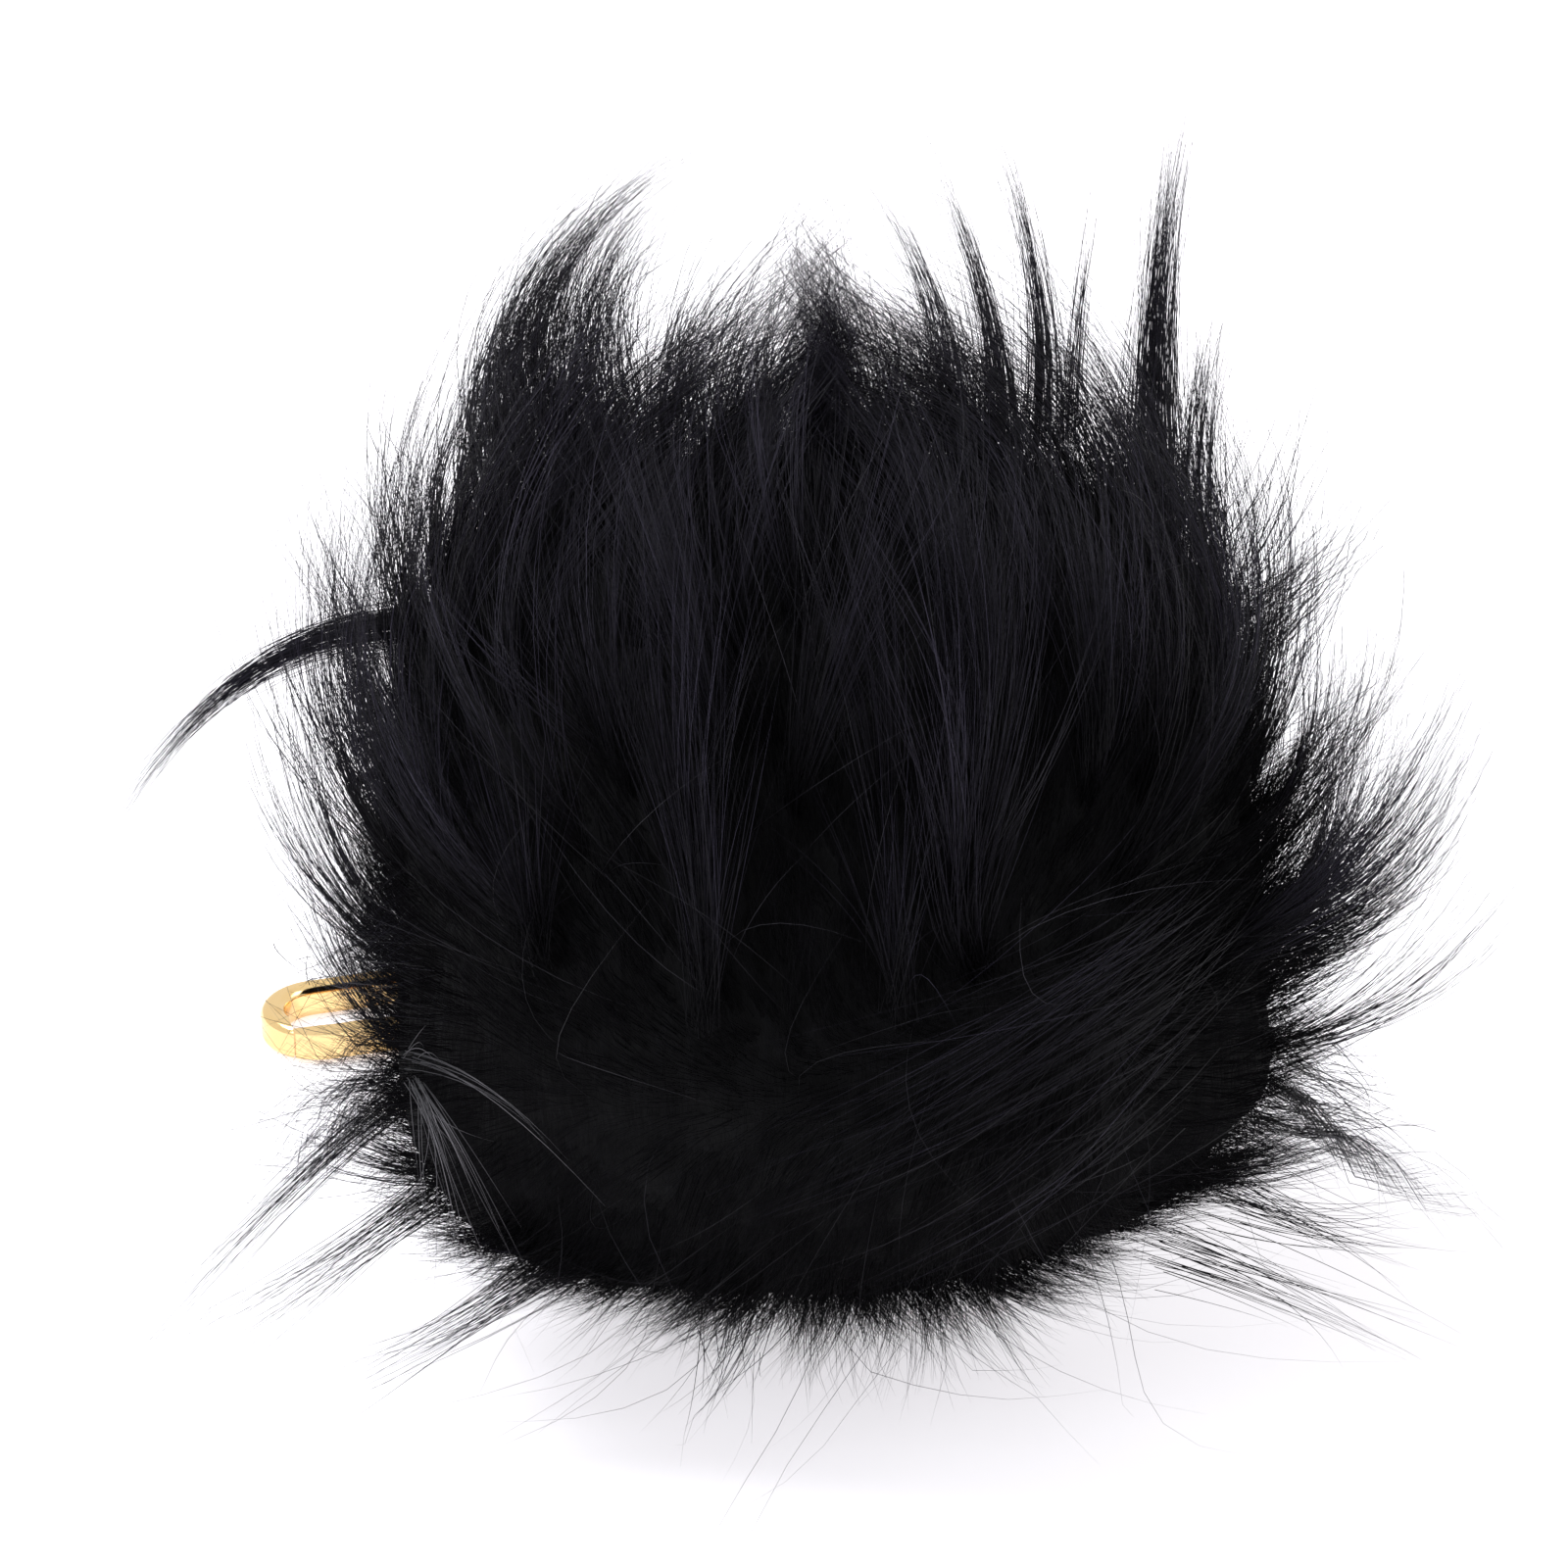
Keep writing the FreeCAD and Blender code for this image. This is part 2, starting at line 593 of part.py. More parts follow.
def gate_pin():
    """Rivet through both cheeks, flush with the hook."""
    piece = Piece("gate_pin")
    piece.rod("sizes.pin_radius", "sizes.hook_height", (*PIVOT, "-sizes.hook_height / 2"))
    piece.body.Placement = ON_CLASP
    return piece.body


def gate_spring():
    """Return spring round the pin, in the gate's well."""
    piece = Piece("gate_spring")
    piece.coil(
        "sizes.spring_radius",
        "sizes.spring_wire",
        "sizes.spring_pitch",
        "sizes.spring_turns",
        f"sizes.gate_height / 2 - {SPRING_DEPTH} + sizes.spring_wire / 2 + sizes.spring_end",
    )
    at_pivot = Placement(Vector(size("pivot_along"), size("pivot_aside"), 0), Rotation())
    piece.body.Placement = ON_CLASP.multiply(at_pivot)
    return piece.body


def check_and_export(nodes):
    """Stops on a failed feature or a bad shape, and otherwise writes one file for each node."""
    for obj in doc.Objects:
        if {"Invalid", "Error"} & set(obj.State):
            raise RuntimeError(f"{obj.Name} is {obj.State}")
    for node in nodes:
        if node.Shape.isNull() or not node.Shape.isValid() or not node.Shape.Solids:
            raise RuntimeError(f"{node.Label} has no valid shape")
    os.makedirs("parts", exist_ok=True)
    for node in nodes:
        node.Shape.exportStep(f"parts/{node.Label}.step")
        box = node.Shape.BoundBox
        print(
            f"{node.Label:18s} {len(node.Shape.Solids)} solid(s) {node.Shape.Volume:10.1f} mm3  "
            f"x {box.XMin:7.2f} {box.XMax:7.2f}  y {box.YMin:7.2f} {box.YMax:7.2f}  "
            f"z {box.ZMin:7.2f} {box.ZMax:7.2f}"
        )


NODES = [
    stuffing_core(),
    pelt_hide(),
    fur_pile(),
    gathering_thread(),
    hang_tab(),
    tab_stitching(),
    d_ring(),
    jump_ring(),
    *(chain_link(number) for number in range(len(LINK_HEADINGS))),
    swivel_eye(),
    clasp_body(),
    gate(),
    gate_pin(),
    gate_spring(),
]
doc.recompute()
check_and_export(NODES)
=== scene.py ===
"""Looks of a fur ball bag charm with a swivel clasp, built round its packed construction.

Everything is in metres with Z up, and the ball rests on the floor at the origin with its front towards -Y. A
place on the fur is given in millimetres as the maker sees it when looking at the front a little from above:
how far right, how far up and how near, from the middle of the ball.
"""

import logging
import math
from dataclasses import dataclass, field
from enum import Enum
from typing import Any

import bmesh
import bpy
import numpy as np
from mathutils import Matrix, Vector, noise


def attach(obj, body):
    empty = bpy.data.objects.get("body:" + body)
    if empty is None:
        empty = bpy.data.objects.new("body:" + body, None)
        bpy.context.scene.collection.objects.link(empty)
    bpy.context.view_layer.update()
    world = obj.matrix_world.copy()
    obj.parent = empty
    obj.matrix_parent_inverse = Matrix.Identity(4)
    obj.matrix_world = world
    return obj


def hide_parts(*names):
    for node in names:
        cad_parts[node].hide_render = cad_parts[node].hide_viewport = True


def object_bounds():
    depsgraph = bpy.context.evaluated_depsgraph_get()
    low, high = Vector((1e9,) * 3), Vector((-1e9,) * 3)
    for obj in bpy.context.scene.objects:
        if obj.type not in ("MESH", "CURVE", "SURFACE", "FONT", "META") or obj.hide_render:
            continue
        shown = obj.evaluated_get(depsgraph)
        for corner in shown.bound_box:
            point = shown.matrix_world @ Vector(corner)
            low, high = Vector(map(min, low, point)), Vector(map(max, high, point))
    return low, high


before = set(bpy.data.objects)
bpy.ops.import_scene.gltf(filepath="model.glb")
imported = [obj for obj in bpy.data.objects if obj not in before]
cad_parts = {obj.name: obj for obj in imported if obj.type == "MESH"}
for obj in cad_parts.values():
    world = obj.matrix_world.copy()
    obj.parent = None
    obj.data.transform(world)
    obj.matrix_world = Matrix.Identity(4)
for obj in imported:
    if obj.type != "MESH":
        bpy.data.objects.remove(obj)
CAD_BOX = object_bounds()

LOG = logging.getLogger("fur_ball_charm")
MM = 0.001
Colour = tuple[float, float, float]
Place = tuple[float, float, float]

# Shades that the hairs have between them, how many of those one strand has, and the sides of one hair.
SHADES = 64
SHADES_PER_STRAND = 4
HAIR_SIDES = 3
# How a hair narrows towards its tip, and the width it keeps there as a share of its root's.
TAPER = 1.6
TIP_WIDTH = 0.1
# A hair's place in the UV map: start and width in its shade's column, start and height from root to tip.
COLUMN = (0.1, 0.8)
RUN = (0.02, 0.96)
# Radius of the ball that the comb's strokes are placed on, and how far from its middle one may seem to be.
STROKE_BALL = 50.0
STROKE_RIM = 49.0


def unit(vectors: np.ndarray) -> np.ndarray:
    """Vectors of length one in the same directions."""
    return vectors / np.maximum(np.linalg.norm(vectors, axis=-1, keepdims=True), 1e-9)


def on_surface(vectors: np.ndarray, normals: np.ndarray) -> np.ndarray:
    """What is left of the vectors along a surface with these normals."""
    return vectors - normals * np.sum(vectors * normals, axis=-1, keepdims=True)


def smooth_step(values: np.ndarray, low: float, high: float) -> np.ndarray:
    """A smooth rise from 0 at low to 1 at high."""
    share = np.clip((values - low) / (high - low), 0.0, 1.0)
    return share * share * (3.0 - 2.0 * share)


# ---------------------------------------------------------------------------------------------- shaders


class Link:
    """An output socket of a material, with the operators that shader maths uses."""

    def __init__(self, shader: "Shader", socket: bpy.types.NodeSocket) -> None:
        """Wraps one socket of a shader."""
        self.shader = shader
        self.socket = socket

    def maths(self, operation: str, *values: Any) -> "Link":
        """Adds a Math node.

        Args:
            operation: the node's operation, such as "POWER".
            values: its inputs in order, links or numbers.

        Returns:
            The node's result.
        """
        return self.shader.node("ShaderNodeMath", {"operation": operation}, dict(enumerate(values)))

    def __add__(self, other: Any) -> "Link":
        """self + other."""
        return self.maths("ADD", self, other)

    __radd__ = __add__

    def __sub__(self, other: Any) -> "Link":
        """self - other."""
        return self.maths("SUBTRACT", self, other)

    def __rsub__(self, other: Any) -> "Link":
        """other - self."""
        return self.maths("SUBTRACT", other, self)

    def __mul__(self, other: Any) -> "Link":
        """self * other."""
        return self.maths("MULTIPLY", self, other)

    __rmul__ = __mul__

    def __pow__(self, other: Any) -> "Link":
        """self to the power of other."""
        return self.maths("POWER", self, other)

    def between(self, low: float, high: float) -> "Link":
        """A smooth mask that rises from 0 at low to 1 at high."""
        settings = {"interpolation_type": "SMOOTHSTEP"}
        sockets = {"Value": self, "From Min": low, "From Max": high}
        return self.shader.node("ShaderNodeMapRange", settings, sockets)


class Ray(Enum):
    """Rays that find the studio plain white."""

    CAMERA = "Is Camera Ray"
    GLOSSY = "Is Glossy Ray"
    THROUGH = "Is Transmission Ray"


class Shader:
    """A material, or the world, while it is being built."""

    def __init__(self, name: str, world: bool = False) -> None:
        """Starts a material, or the world, with an empty node tree."""
        self.made = (bpy.data.worlds if world else bpy.data.materials).new(name)
        self.made.use_nodes = True
        self.tree = self.made.node_tree
        self.tree.nodes.clear()

    def node(
        self, kind: str, settings: dict[str, Any] | None = None, sockets: dict | None = None, out: Any = 0
    ) -> Link:
        """Adds any node.

        Args:
            kind: the node's type.
            settings: its own properties, set before its sockets.
            sockets: values or links by socket name or number.
            out: name or number of the output to return.

        Returns:
            The wanted output.
        """
        node = self.tree.nodes.new(kind)
        for name, value in (settings or {}).items():
            setattr(node, name, value)
        for name, value in (sockets or {}).items():
            if isinstance(value, Link):
                self.tree.links.new(value.socket, node.inputs[name])
            else:
                node.inputs[name].default_value = value
        return Link(self, node.outputs[out])

    def mix(self, factor: Any, first: Any, second: Any) -> Link:
        """A colour between two colours."""
        settings = {"data_type": "RGBA"}
        ends = [(*value, 1.0) if isinstance(value, tuple) else value for value in (first, second)]
        return self.node("ShaderNodeMix", settings, {0: factor, 6: ends[0], 7: ends[1]}, out=2)

    def place(self, scale: Place = (1.0, 1.0, 1.0), turn: Place = (0.0, 0.0, 0.0)) -> Link:
        """Object coordinates, scaled and turned."""
        coordinates = self.node("ShaderNodeTexCoord", out="Object")
        sockets = {"Vector": coordinates, "Scale": scale, "Rotation": turn}
        return self.node("ShaderNodeMapping", None, sockets)

    def noise(self, vector: Link, scale: float, detail: float = 3.0, roughness: float = 0.5) -> Link:
        """Soft noise from 0 to 1."""
        sockets = {"Vector": vector, "Scale": scale, "Detail": detail, "Roughness": roughness}
        return self.node("ShaderNodeTexNoise", None, sockets)

    def bump(self, height: Link, strength: float, depth: float) -> Link:
        """A normal from a height.

        Args:
            height: the height, from 0 to 1.
            strength: how much of it is used.
            depth: what a height of 1 is, in metres.

        Returns:
            The bumped normal.
        """
        sockets = {"Height": height, "Strength": strength, "Distance": depth}
        return self.node("ShaderNodeBump", None, sockets)

    def seen(self) -> Link:
        """A mask of the rays that find the studio plain white."""
        camera, glossy, through = (self.node("ShaderNodeLightPath", out=ray.value) for ray in Ray)
        return camera.maths("MAXIMUM", camera.maths("MAXIMUM", camera, glossy), through)

    def surface(self, sockets: dict[str, Any]) -> bpy.types.Material:
        """Ends the material with a Principled surface that has these sockets."""
        return self.end(self.node("ShaderNodeBsdfPrincipled", None, sockets))

    def end(self, surface: Link) -> Any:
        """Links a surface or a background to the output, and hands over what was made."""
        kind = "World" if isinstance(self.made, bpy.types.World) else "Material"
        output = self.tree.nodes.new(f"ShaderNodeOutput{kind}")
        self.tree.links.new(surface.socket, output.inputs["Surface"])
        return self.made


@dataclass(frozen=True)
class HairFinish:
    """Glossy dyed hair, with painted shade at the root, a painted violet sheen towards the tip and painted
    highlights on some strands. Its UV map holds each hair's shade across, and the way from root to tip
    along.
    """

    name: str
    # Painted light: the root tone is painted shade deep in the pile, and the violet tip tone is a painted
    # sheen.
    root: Colour
    tip: Colour
    # The painted highlight tone that a few strands take towards their tips.
    painted_highlight: Colour
    roughness: float
    gloss: float
    # How rare the strands with painted highlights are.
    rarity: float = 2.0
    uneven: float = 0.14
    # Where along the hair the painted root shade gives way, and where the tip's painted sheen is full.
    dark_end: float = 0.05
    full_from: float = 0.75
    gloss_tint: Colour = (0.92, 0.9, 1.0)

    def make(self) -> bpy.types.Material:
        """Builds the material."""
        shader = Shader(self.name)
        map_node = shader.node("ShaderNodeUVMap", {"uv_map": "hair"})
        across = shader.node("ShaderNodeSeparateXYZ", None, {0: map_node}, out="X")
        along = shader.node("ShaderNodeSeparateXYZ", None, {0: map_node}, out="Y")
        shade = across.maths("FLOOR", across * SHADES)
        strand = across.maths("FLOOR", across * (SHADES / SHADES_PER_STRAND))
        own = shader.node("ShaderNodeTexWhiteNoise", {"noise_dimensions": "1D"}, {"W": strand})
        other = shader.node("ShaderNodeTexWhiteNoise", {"noise_dimensions": "1D"}, {"W": shade + 91.0})
        # Painted shade at the root, giving way to the painted violet sheen of the tip.
        lit = along.between(self.dark_end, self.full_from)
        painted_root_shade_tip_sheen = shader.mix(lit, self.root, self.tip)
        # Painted highlights: strands chosen at random are painted paler, most towards their tips.
        painted_highlight_share = own**self.rarity * (other * 0.7 + 0.3) * lit
        return shader.surface(
            {
                "Base Color": shader.mix(painted_highlight_share, painted_root_shade_tip_sheen, self.painted_highlight),
                "Roughness": other * self.uneven + (self.roughness - self.uneven / 2.0),
                "Specular IOR Level": self.gloss,
                "Specular Tint": (*self.gloss_tint, 1.0),
            }
        )


@dataclass(frozen=True)
class PileFinish:
    """The deep of the pile, where hardly any light reaches, streaked by the hair that grows out of it."""

    deep: Colour = (0.0012, 0.0012, 0.0015)
    streak: Colour = (0.005, 0.005, 0.006)

    def make(self) -> bpy.types.Material:
        """Builds the material."""
        shader = Shader("pile_deep")
        streaks = shader.noise(shader.place(scale=(1.0, 1.0, 0.16)), scale=900.0, detail=4.0, roughness=0.6)
        patches = shader.noise(shader.place(), scale=60.0)
        return shader.surface(
            {
                "Base Color": shader.mix(streaks.between(0.45, 0.8), self.deep, self.streak),
                "Roughness": patches * 0.2 + 0.7,
                "Specular IOR Level": 0.1,
                "Normal": shader.bump(streaks, strength=0.8, depth=0.0006),
            }
        )


@dataclass(frozen=True)
class GoldFinish:
    """Polished gilt metal with fine scratches and slightly duller patches."""

    name: str = "polished_gilt"
    bright: Colour = (0.86, 0.61, 0.29)
    deep: Colour = (0.68, 0.42, 0.15)
    roughness: float = 0.13

    def make(self) -> bpy.types.Material:
        """Builds the material."""
        shader = Shader(self.name)
        patches = shader.noise(shader.place(), scale=320.0, detail=4.0)
        drawn_out = shader.place(scale=(1.0, 0.07, 1.0), turn=(0.0, 0.0, 0.5))
        scratches = shader.noise(drawn_out, scale=5200.0, detail=2.0)
        worn = patches.between(0.52, 0.74)
        return shader.surface(
            {
                "Base Color": shader.mix(worn * 0.6, self.bright, self.deep),
                "Metallic": 1.0,
                "Roughness": worn * 0.1 + scratches * 0.06 + (self.roughness - 0.05),
                "Normal": shader.bump(scratches, strength=0.12, depth=0.00003),
            }
        )


@dataclass(frozen=True)
class SteelFinish:
    """Drawn spring wire with a film of oil."""

    tone: Colour = (0.42, 0.42, 0.44)
    oiled: Colour = (0.30, 0.29, 0.28)

    def make(self) -> bpy.types.Material:
        """Builds the material."""
        shader = Shader("oiled_spring")
        drawn = shader.noise(shader.place(scale=(1.0, 1.0, 0.2)), scale=4000.0)
        colour = shader.mix(drawn.between(0.4, 0.8), self.tone, self.oiled)
        return shader.surface({"Base Color": colour, "Metallic": 1.0, "Roughness": drawn * 0.15 + 0.2})


@dataclass(frozen=True)
class LeatherFinish:
    """Thin black leather with a pebbled grain, rubbed a little paler on top of the grain."""

    dye: Colour = (0.009, 0.0085, 0.009)
    rubbed: Colour = (0.035, 0.032, 0.031)

    def make(self) -> bpy.types.Material:
        """Builds the material."""
        shader = Shader("pebbled_leather")
        place = shader.place()
        cells = shader.node("ShaderNodeTexVoronoi", {"feature": "F1"}, {"Vector": place, "Scale": 2600.0})
        creases = shader.noise(place, scale=900.0, detail=5.0, roughness=0.6)
        height = cells * 0.7 + creases * 0.5
        return shader.surface(
            {
                "Base Color": shader.mix(height.between(0.35, 0.8) * 0.6, self.dye, self.rubbed),
                "Roughness": creases * 0.25 + 0.38,
                "Normal": shader.bump(height, strength=0.6, depth=0.00012),
            }
        )


@dataclass(frozen=True)
class ThreadFinish:
    """Waxed polyester thread with a visible twist."""

    name: str
    dye: Colour
    worn: Colour

    def make(self) -> bpy.types.Material:
        """Builds the material."""
        shader = Shader(self.name)
        sockets = {"Vector": shader.place(turn=(0.6, 0.5, 0.4)), "Scale": 900.0, "Distortion": 1.5}
        twist = shader.node("ShaderNodeTexWave", None, sockets, out="Fac")
        return shader.surface(
            {
                "Base Color": shader.mix(twist, self.dye, self.worn),
                "Roughness": twist * 0.15 + 0.45,
                "Normal": shader.bump(twist, strength=0.7, depth=0.00006),
            }
        )


@dataclass(frozen=True)
class SuedeFinish:
    """Flesh side of a tanned hide: a dull, slightly patchy nap."""

    pale: Colour = (0.36, 0.30, 0.24)
    dark: Colour = (0.20, 0.16, 0.13)

    def make(self) -> bpy.types.Material:
        """Builds the material."""
        shader = Shader("hide_suede")
        patches = shader.noise(shader.place(), scale=90.0, detail=5.0, roughness=0.6)
        nap = shader.noise(shader.place(), scale=2400.0)
        return shader.surface(
            {
                "Base Color": shader.mix(patches * 0.7 + nap * 0.3, self.dark, self.pale),
                "Roughness": nap * 0.1 + 0.85,
                "Normal": shader.bump(nap * 0.5 + patches, strength=0.6, depth=0.0003),
            }
        )


@dataclass(frozen=True)
class FibreFinish:
    """Crimped polyester filling."""

    white: Colour = (0.74, 0.74, 0.73)
    shadow: Colour = (0.48, 0.48, 0.48)

    def make(self) -> bpy.types.Material:
        """Builds the material."""
        shader = Shader("stuffing_fibre")
        crimped = shader.place(scale=(1.0, 1.0, 0.35))
        strands = shader.noise(crimped, scale=1400.0, detail=6.0, roughness=0.7)
        tufts = shader.noise(shader.place(), scale=160.0, detail=4.0)
        return shader.surface(
            {
                "Base Color": shader.mix(strands * 0.6 + tufts * 0.4, self.shadow, self.white),
                "Roughness": strands * 0.1 + 0.8,
                "Normal": shader.bump(strands * 0.6 + tufts, strength=0.9, depth=0.0008),
            }
        )


@dataclass(frozen=True)
class FloorFinish:
    """White table top, which shows as plain white where it is lit and keeps the charm's shadow."""

    tone: Colour = (0.82, 0.81, 0.83)
    patch: Colour = (0.79, 0.78, 0.81)
    glow: float = 0.69
    glow_tone: Colour = (0.985, 0.96, 1.0)
    fade: tuple[float, float] = (0.13, 0.4)

    def make(self) -> bpy.types.Material:
        """Builds the material."""
        shader = Shader("table_top")
        mottle = shader.noise(shader.place(), scale=6.0)
        paint = shader.mix(mottle * 0.1, self.tone, self.patch)
        diffuse = shader.node("ShaderNodeBsdfDiffuse", None, {"Color": paint})
        away = shader.node("ShaderNodeVectorMath", {"operation": "LENGTH"}, {0: shader.place()}, out="Value")
        spread = away.between(*self.fade) * (1.0 - self.glow) + self.glow
        sockets = {"Color": (*self.glow_tone, 1.0), "Strength": shader.seen() * spread}
        glow = shader.node("ShaderNodeEmission", None, sockets)
        return shader.end(shader.node("ShaderNodeAddShader", None, {0: diffuse, 1: glow}))


# ------------------------------------------------------------------------------------------- the groom


@dataclass(frozen=True)
class Facing:
    """Directions as the maker sees the front of the ball, a little from above."""

    middle: Place = (0.0, 0.0, 50.0)
    from_above: float = 26.0

    @property
    def axes(self) -> np.ndarray:
        """Rows for right, up and near."""
        angle = math.radians(self.from_above)
        sine, cosine = math.sin(angle), math.cos(angle)
        return np.array([[1.0, 0.0, 0.0], [0.0, sine, cosine], [0.0, -cosine, sine]])

    def point(self, place: Place) -> np.ndarray:
        """A place on the fur, in millimetres of the shared frame."""
        return np.array(self.middle) + np.array(place) @ self.axes

    def heading(self, degrees: float) -> np.ndarray:
        """A direction across the view, anticlockwise from the right."""
        angle = math.radians(degrees)
        return np.array([math.cos(angle), math.sin(angle), 0.0]) @ self.axes


FACING = Facing()


@dataclass(frozen=True)
class Stroke:
    """One stroke of the comb: where it is, which way it lays the hair, and how far round it reaches."""

    right: float
    up: float
    heading: float
    reach: float = 16.0
    weight: float = 1.0
    lift: float = 0.0

    def centre(self) -> np.ndarray:
        """Direction of the stroke's place from the middle of the ball."""
        flat = min(math.hypot(self.right, self.up), STROKE_RIM)
        near = math.sqrt(STROKE_BALL**2 - flat**2)
        return unit(np.array([self.right, self.up, near]) @ FACING.axes)


@dataclass(frozen=True)
class Swell:
    """A fuller or thinner place in the pile."""

    right: float
    up: float
    near: float
    amount: float
    reach: float = 0.45

    def share(self, directions: np.ndarray) -> np.ndarray:
        """How much each direction lies in the swell, from 0 to 1."""
        centre = unit(np.array([self.right, self.up, self.near]) @ FACING.axes)
        away = np.arccos(np.clip(directions @ centre, -1.0, 1.0))
        return np.exp(-((away / self.reach) ** 2))


@dataclass(frozen=True)
class Groom:
    """Which way the hair lies all over the ball, and how deep its dense part is.

    Away from the strokes the hair rises and leans out, and below the turning heights it droops. It stands
    up where the strokes cancel out.
    """

    depth: float = 42.5
    lean: float = 0.35
    droop: float = 0.45
    turning: tuple[float, float] = (-0.45, -0.05)
    natural: float = 0.3
    stand: float = 0.35
    clear_lie: float = 0.3
    bare_from: float = 0.5
    strokes: tuple[Stroke, ...] = (
        Stroke(-18.0, 22.0, 96.0),
        Stroke(2.0, 22.0, 98.0),
        Stroke(22.0, 20.0, 88.0),
        Stroke(-34.0, 4.0, 104.0),
        Stroke(-14.0, 2.0, 98.0),
        Stroke(6.0, 4.0, 94.0),
        Stroke(24.0, 0.0, 80.0),
        Stroke(38.0, 8.0, 58.0),
        Stroke(44.0, -6.0, 42.0, lift=0.15),
        Stroke(-44.0, 14.0, 104.0),
        Stroke(-46.0, -4.0, 112.0, 13.0),
        Stroke(-42.0, -20.0, 205.0, 10.0, lift=0.25),
        Stroke(-22.0, -14.0, 100.0, 13.0),
        Stroke(-2.0, -12.0, 96.0, 12.0),
        Stroke(-24.0, -34.0, 246.0),
        Stroke(0.0, -38.0, 258.0),
        Stroke(14.0, -26.0, 205.0, 12.0, 1.4),
        Stroke(30.0, -16.0, 212.0, 11.0, 1.4),
        Stroke(34.0, -32.0, 318.0, 12.0),
        Stroke(48.0, -24.0, 338.0, lift=0.1),
        Stroke(20.0, -40.0, 285.0),
    )
    bare: tuple[Swell, ...] = (
        Swell(-18.0, -30.0, 32.0, 1.0, 0.42),
        Swell(4.0, -24.0, 38.0, 1.0, 0.34),
        Swell(-36.0, -16.0, 22.0, 1.0, 0.26),
        Swell(10.0, -40.0, 20.0, 1.0, 0.4),
        Swell(27.0, -28.0, 18.0, 1.0, 0.42),
    )
    swells: tuple[Swell, ...] = (
        Swell(-38.0, 36.0, 0.0, 7.0, 0.42),
        Swell(40.0, 34.0, 0.0, 6.5, 0.42),
        Swell(-38.0, -36.0, 4.0, 8.0, 0.42),
        Swell(48.0, -24.0, 0.0, 5.5, 0.35),
        Swell(36.0, -38.0, 6.0, 2.5),
        Swell(0.0, 0.0, 48.0, -2.0, 0.8),
    )

    def reach(self, directions: np.ndarray) -> np.ndarray:
        """Distance from the middle of the ball to the top of the dense part of its pile."""
        return self.depth + sum(s.amount * s.share(directions) for s in self.swells)

    def is_bare(self, directions: np.ndarray) -> np.ndarray:
        """Whether no long hair grows there, so that the deep of the pile shows."""
        return sum(place.share(directions) for place in self.bare) > self.bare_from

    def lie(self, normals: np.ndarray) -> tuple[np.ndarray, np.ndarray]:
        """The way the hair lies.

        Args:
            normals: directions from the middle of the ball.

        Returns:
            Directions along the surface, and how much more than usual the hair stands up there.
        """
        upward = np.array([0.0, 0.0, 1.0]) + self.lean * normals * (1.0, 1.0, 0.0)
        outward = normals * (1.0, 1.0, 0.0) - np.array([0.0, 0.0, self.droop])
        high = smooth_step(normals[..., 2:3], *self.turning)
        total = self.natural * unit(on_surface(upward * high + outward * (1.0 - high), normals))
        lift = np.zeros(normals.shape[:-1])
        for stroke in self.strokes:
            away = np.arccos(np.clip(normals @ stroke.centre(), -1.0, 1.0)) * self.depth
            share = stroke.weight * np.exp(-((away / stroke.reach) ** 2))
            total = total + share[..., None] * on_surface(FACING.heading(stroke.heading), normals)
            lift = lift + share * stroke.lift
        strength = np.linalg.norm(total, axis=-1)
        standing = self.stand * (1.0 - smooth_step(strength, 0.0, self.clear_lie))
        return unit(total), lift + standing


@dataclass(frozen=True)
class Coat:
    """One layer of the coat, with sizes in millimetres.

    Gather draws hairs towards their clump's middle line and bundle draws their roots together. Fan spreads
    the strands of a clump and turn the clumps, in radians. Stray is the share of hairs that are hardly
    gathered.
    """

    name: str
    hairs: int
    clumps: int
    segments: int
    length: tuple[float, float]
    lift: tuple[float, float]
    thickness: float
    gather: float
    bundle: float
    fan: float
    turn: float
    stray: float
    wander: float
    parts: int
    seed: int
    finish: HairFinish


# The underfur has more painted shade and fewer painted highlights, as it lies in the shade under the guard
# hair.
DULL_HAIR = HairFinish(
    "underfur_hair", (0.0003, 0.0003, 0.0004), (0.0012, 0.0011, 0.0015), (0.004, 0.0037, 0.005), 0.55, 0.06
)
DYED_HAIR = HairFinish(
    "dyed_hair", (0.0003, 0.0003, 0.0004), (0.0035, 0.0032, 0.005), (0.08, 0.072, 0.108), 0.34, 0.12, 3.0
)
# The loose hairs are painted paler all along, as painted glints on the stray hairs.
FREE_HAIR = HairFinish(
    "loose_hair", (0.002, 0.002, 0.0025), (0.02, 0.019, 0.024), (0.10, 0.095, 0.115), 0.34, 0.2
)
LOCK_HAIR = HairFinish(
    "lock_hair", (0.0006, 0.0006, 0.0008), (0.003, 0.0027, 0.0042), (0.065, 0.059, 0.09), 0.34, 0.1, 3.0
)
PALE_HAIR = HairFinish(
    "undyed_hair", (0.04, 0.04, 0.043), (0.12, 0.115, 0.125), (0.26, 0.25, 0.27), 0.4, 0.25
)

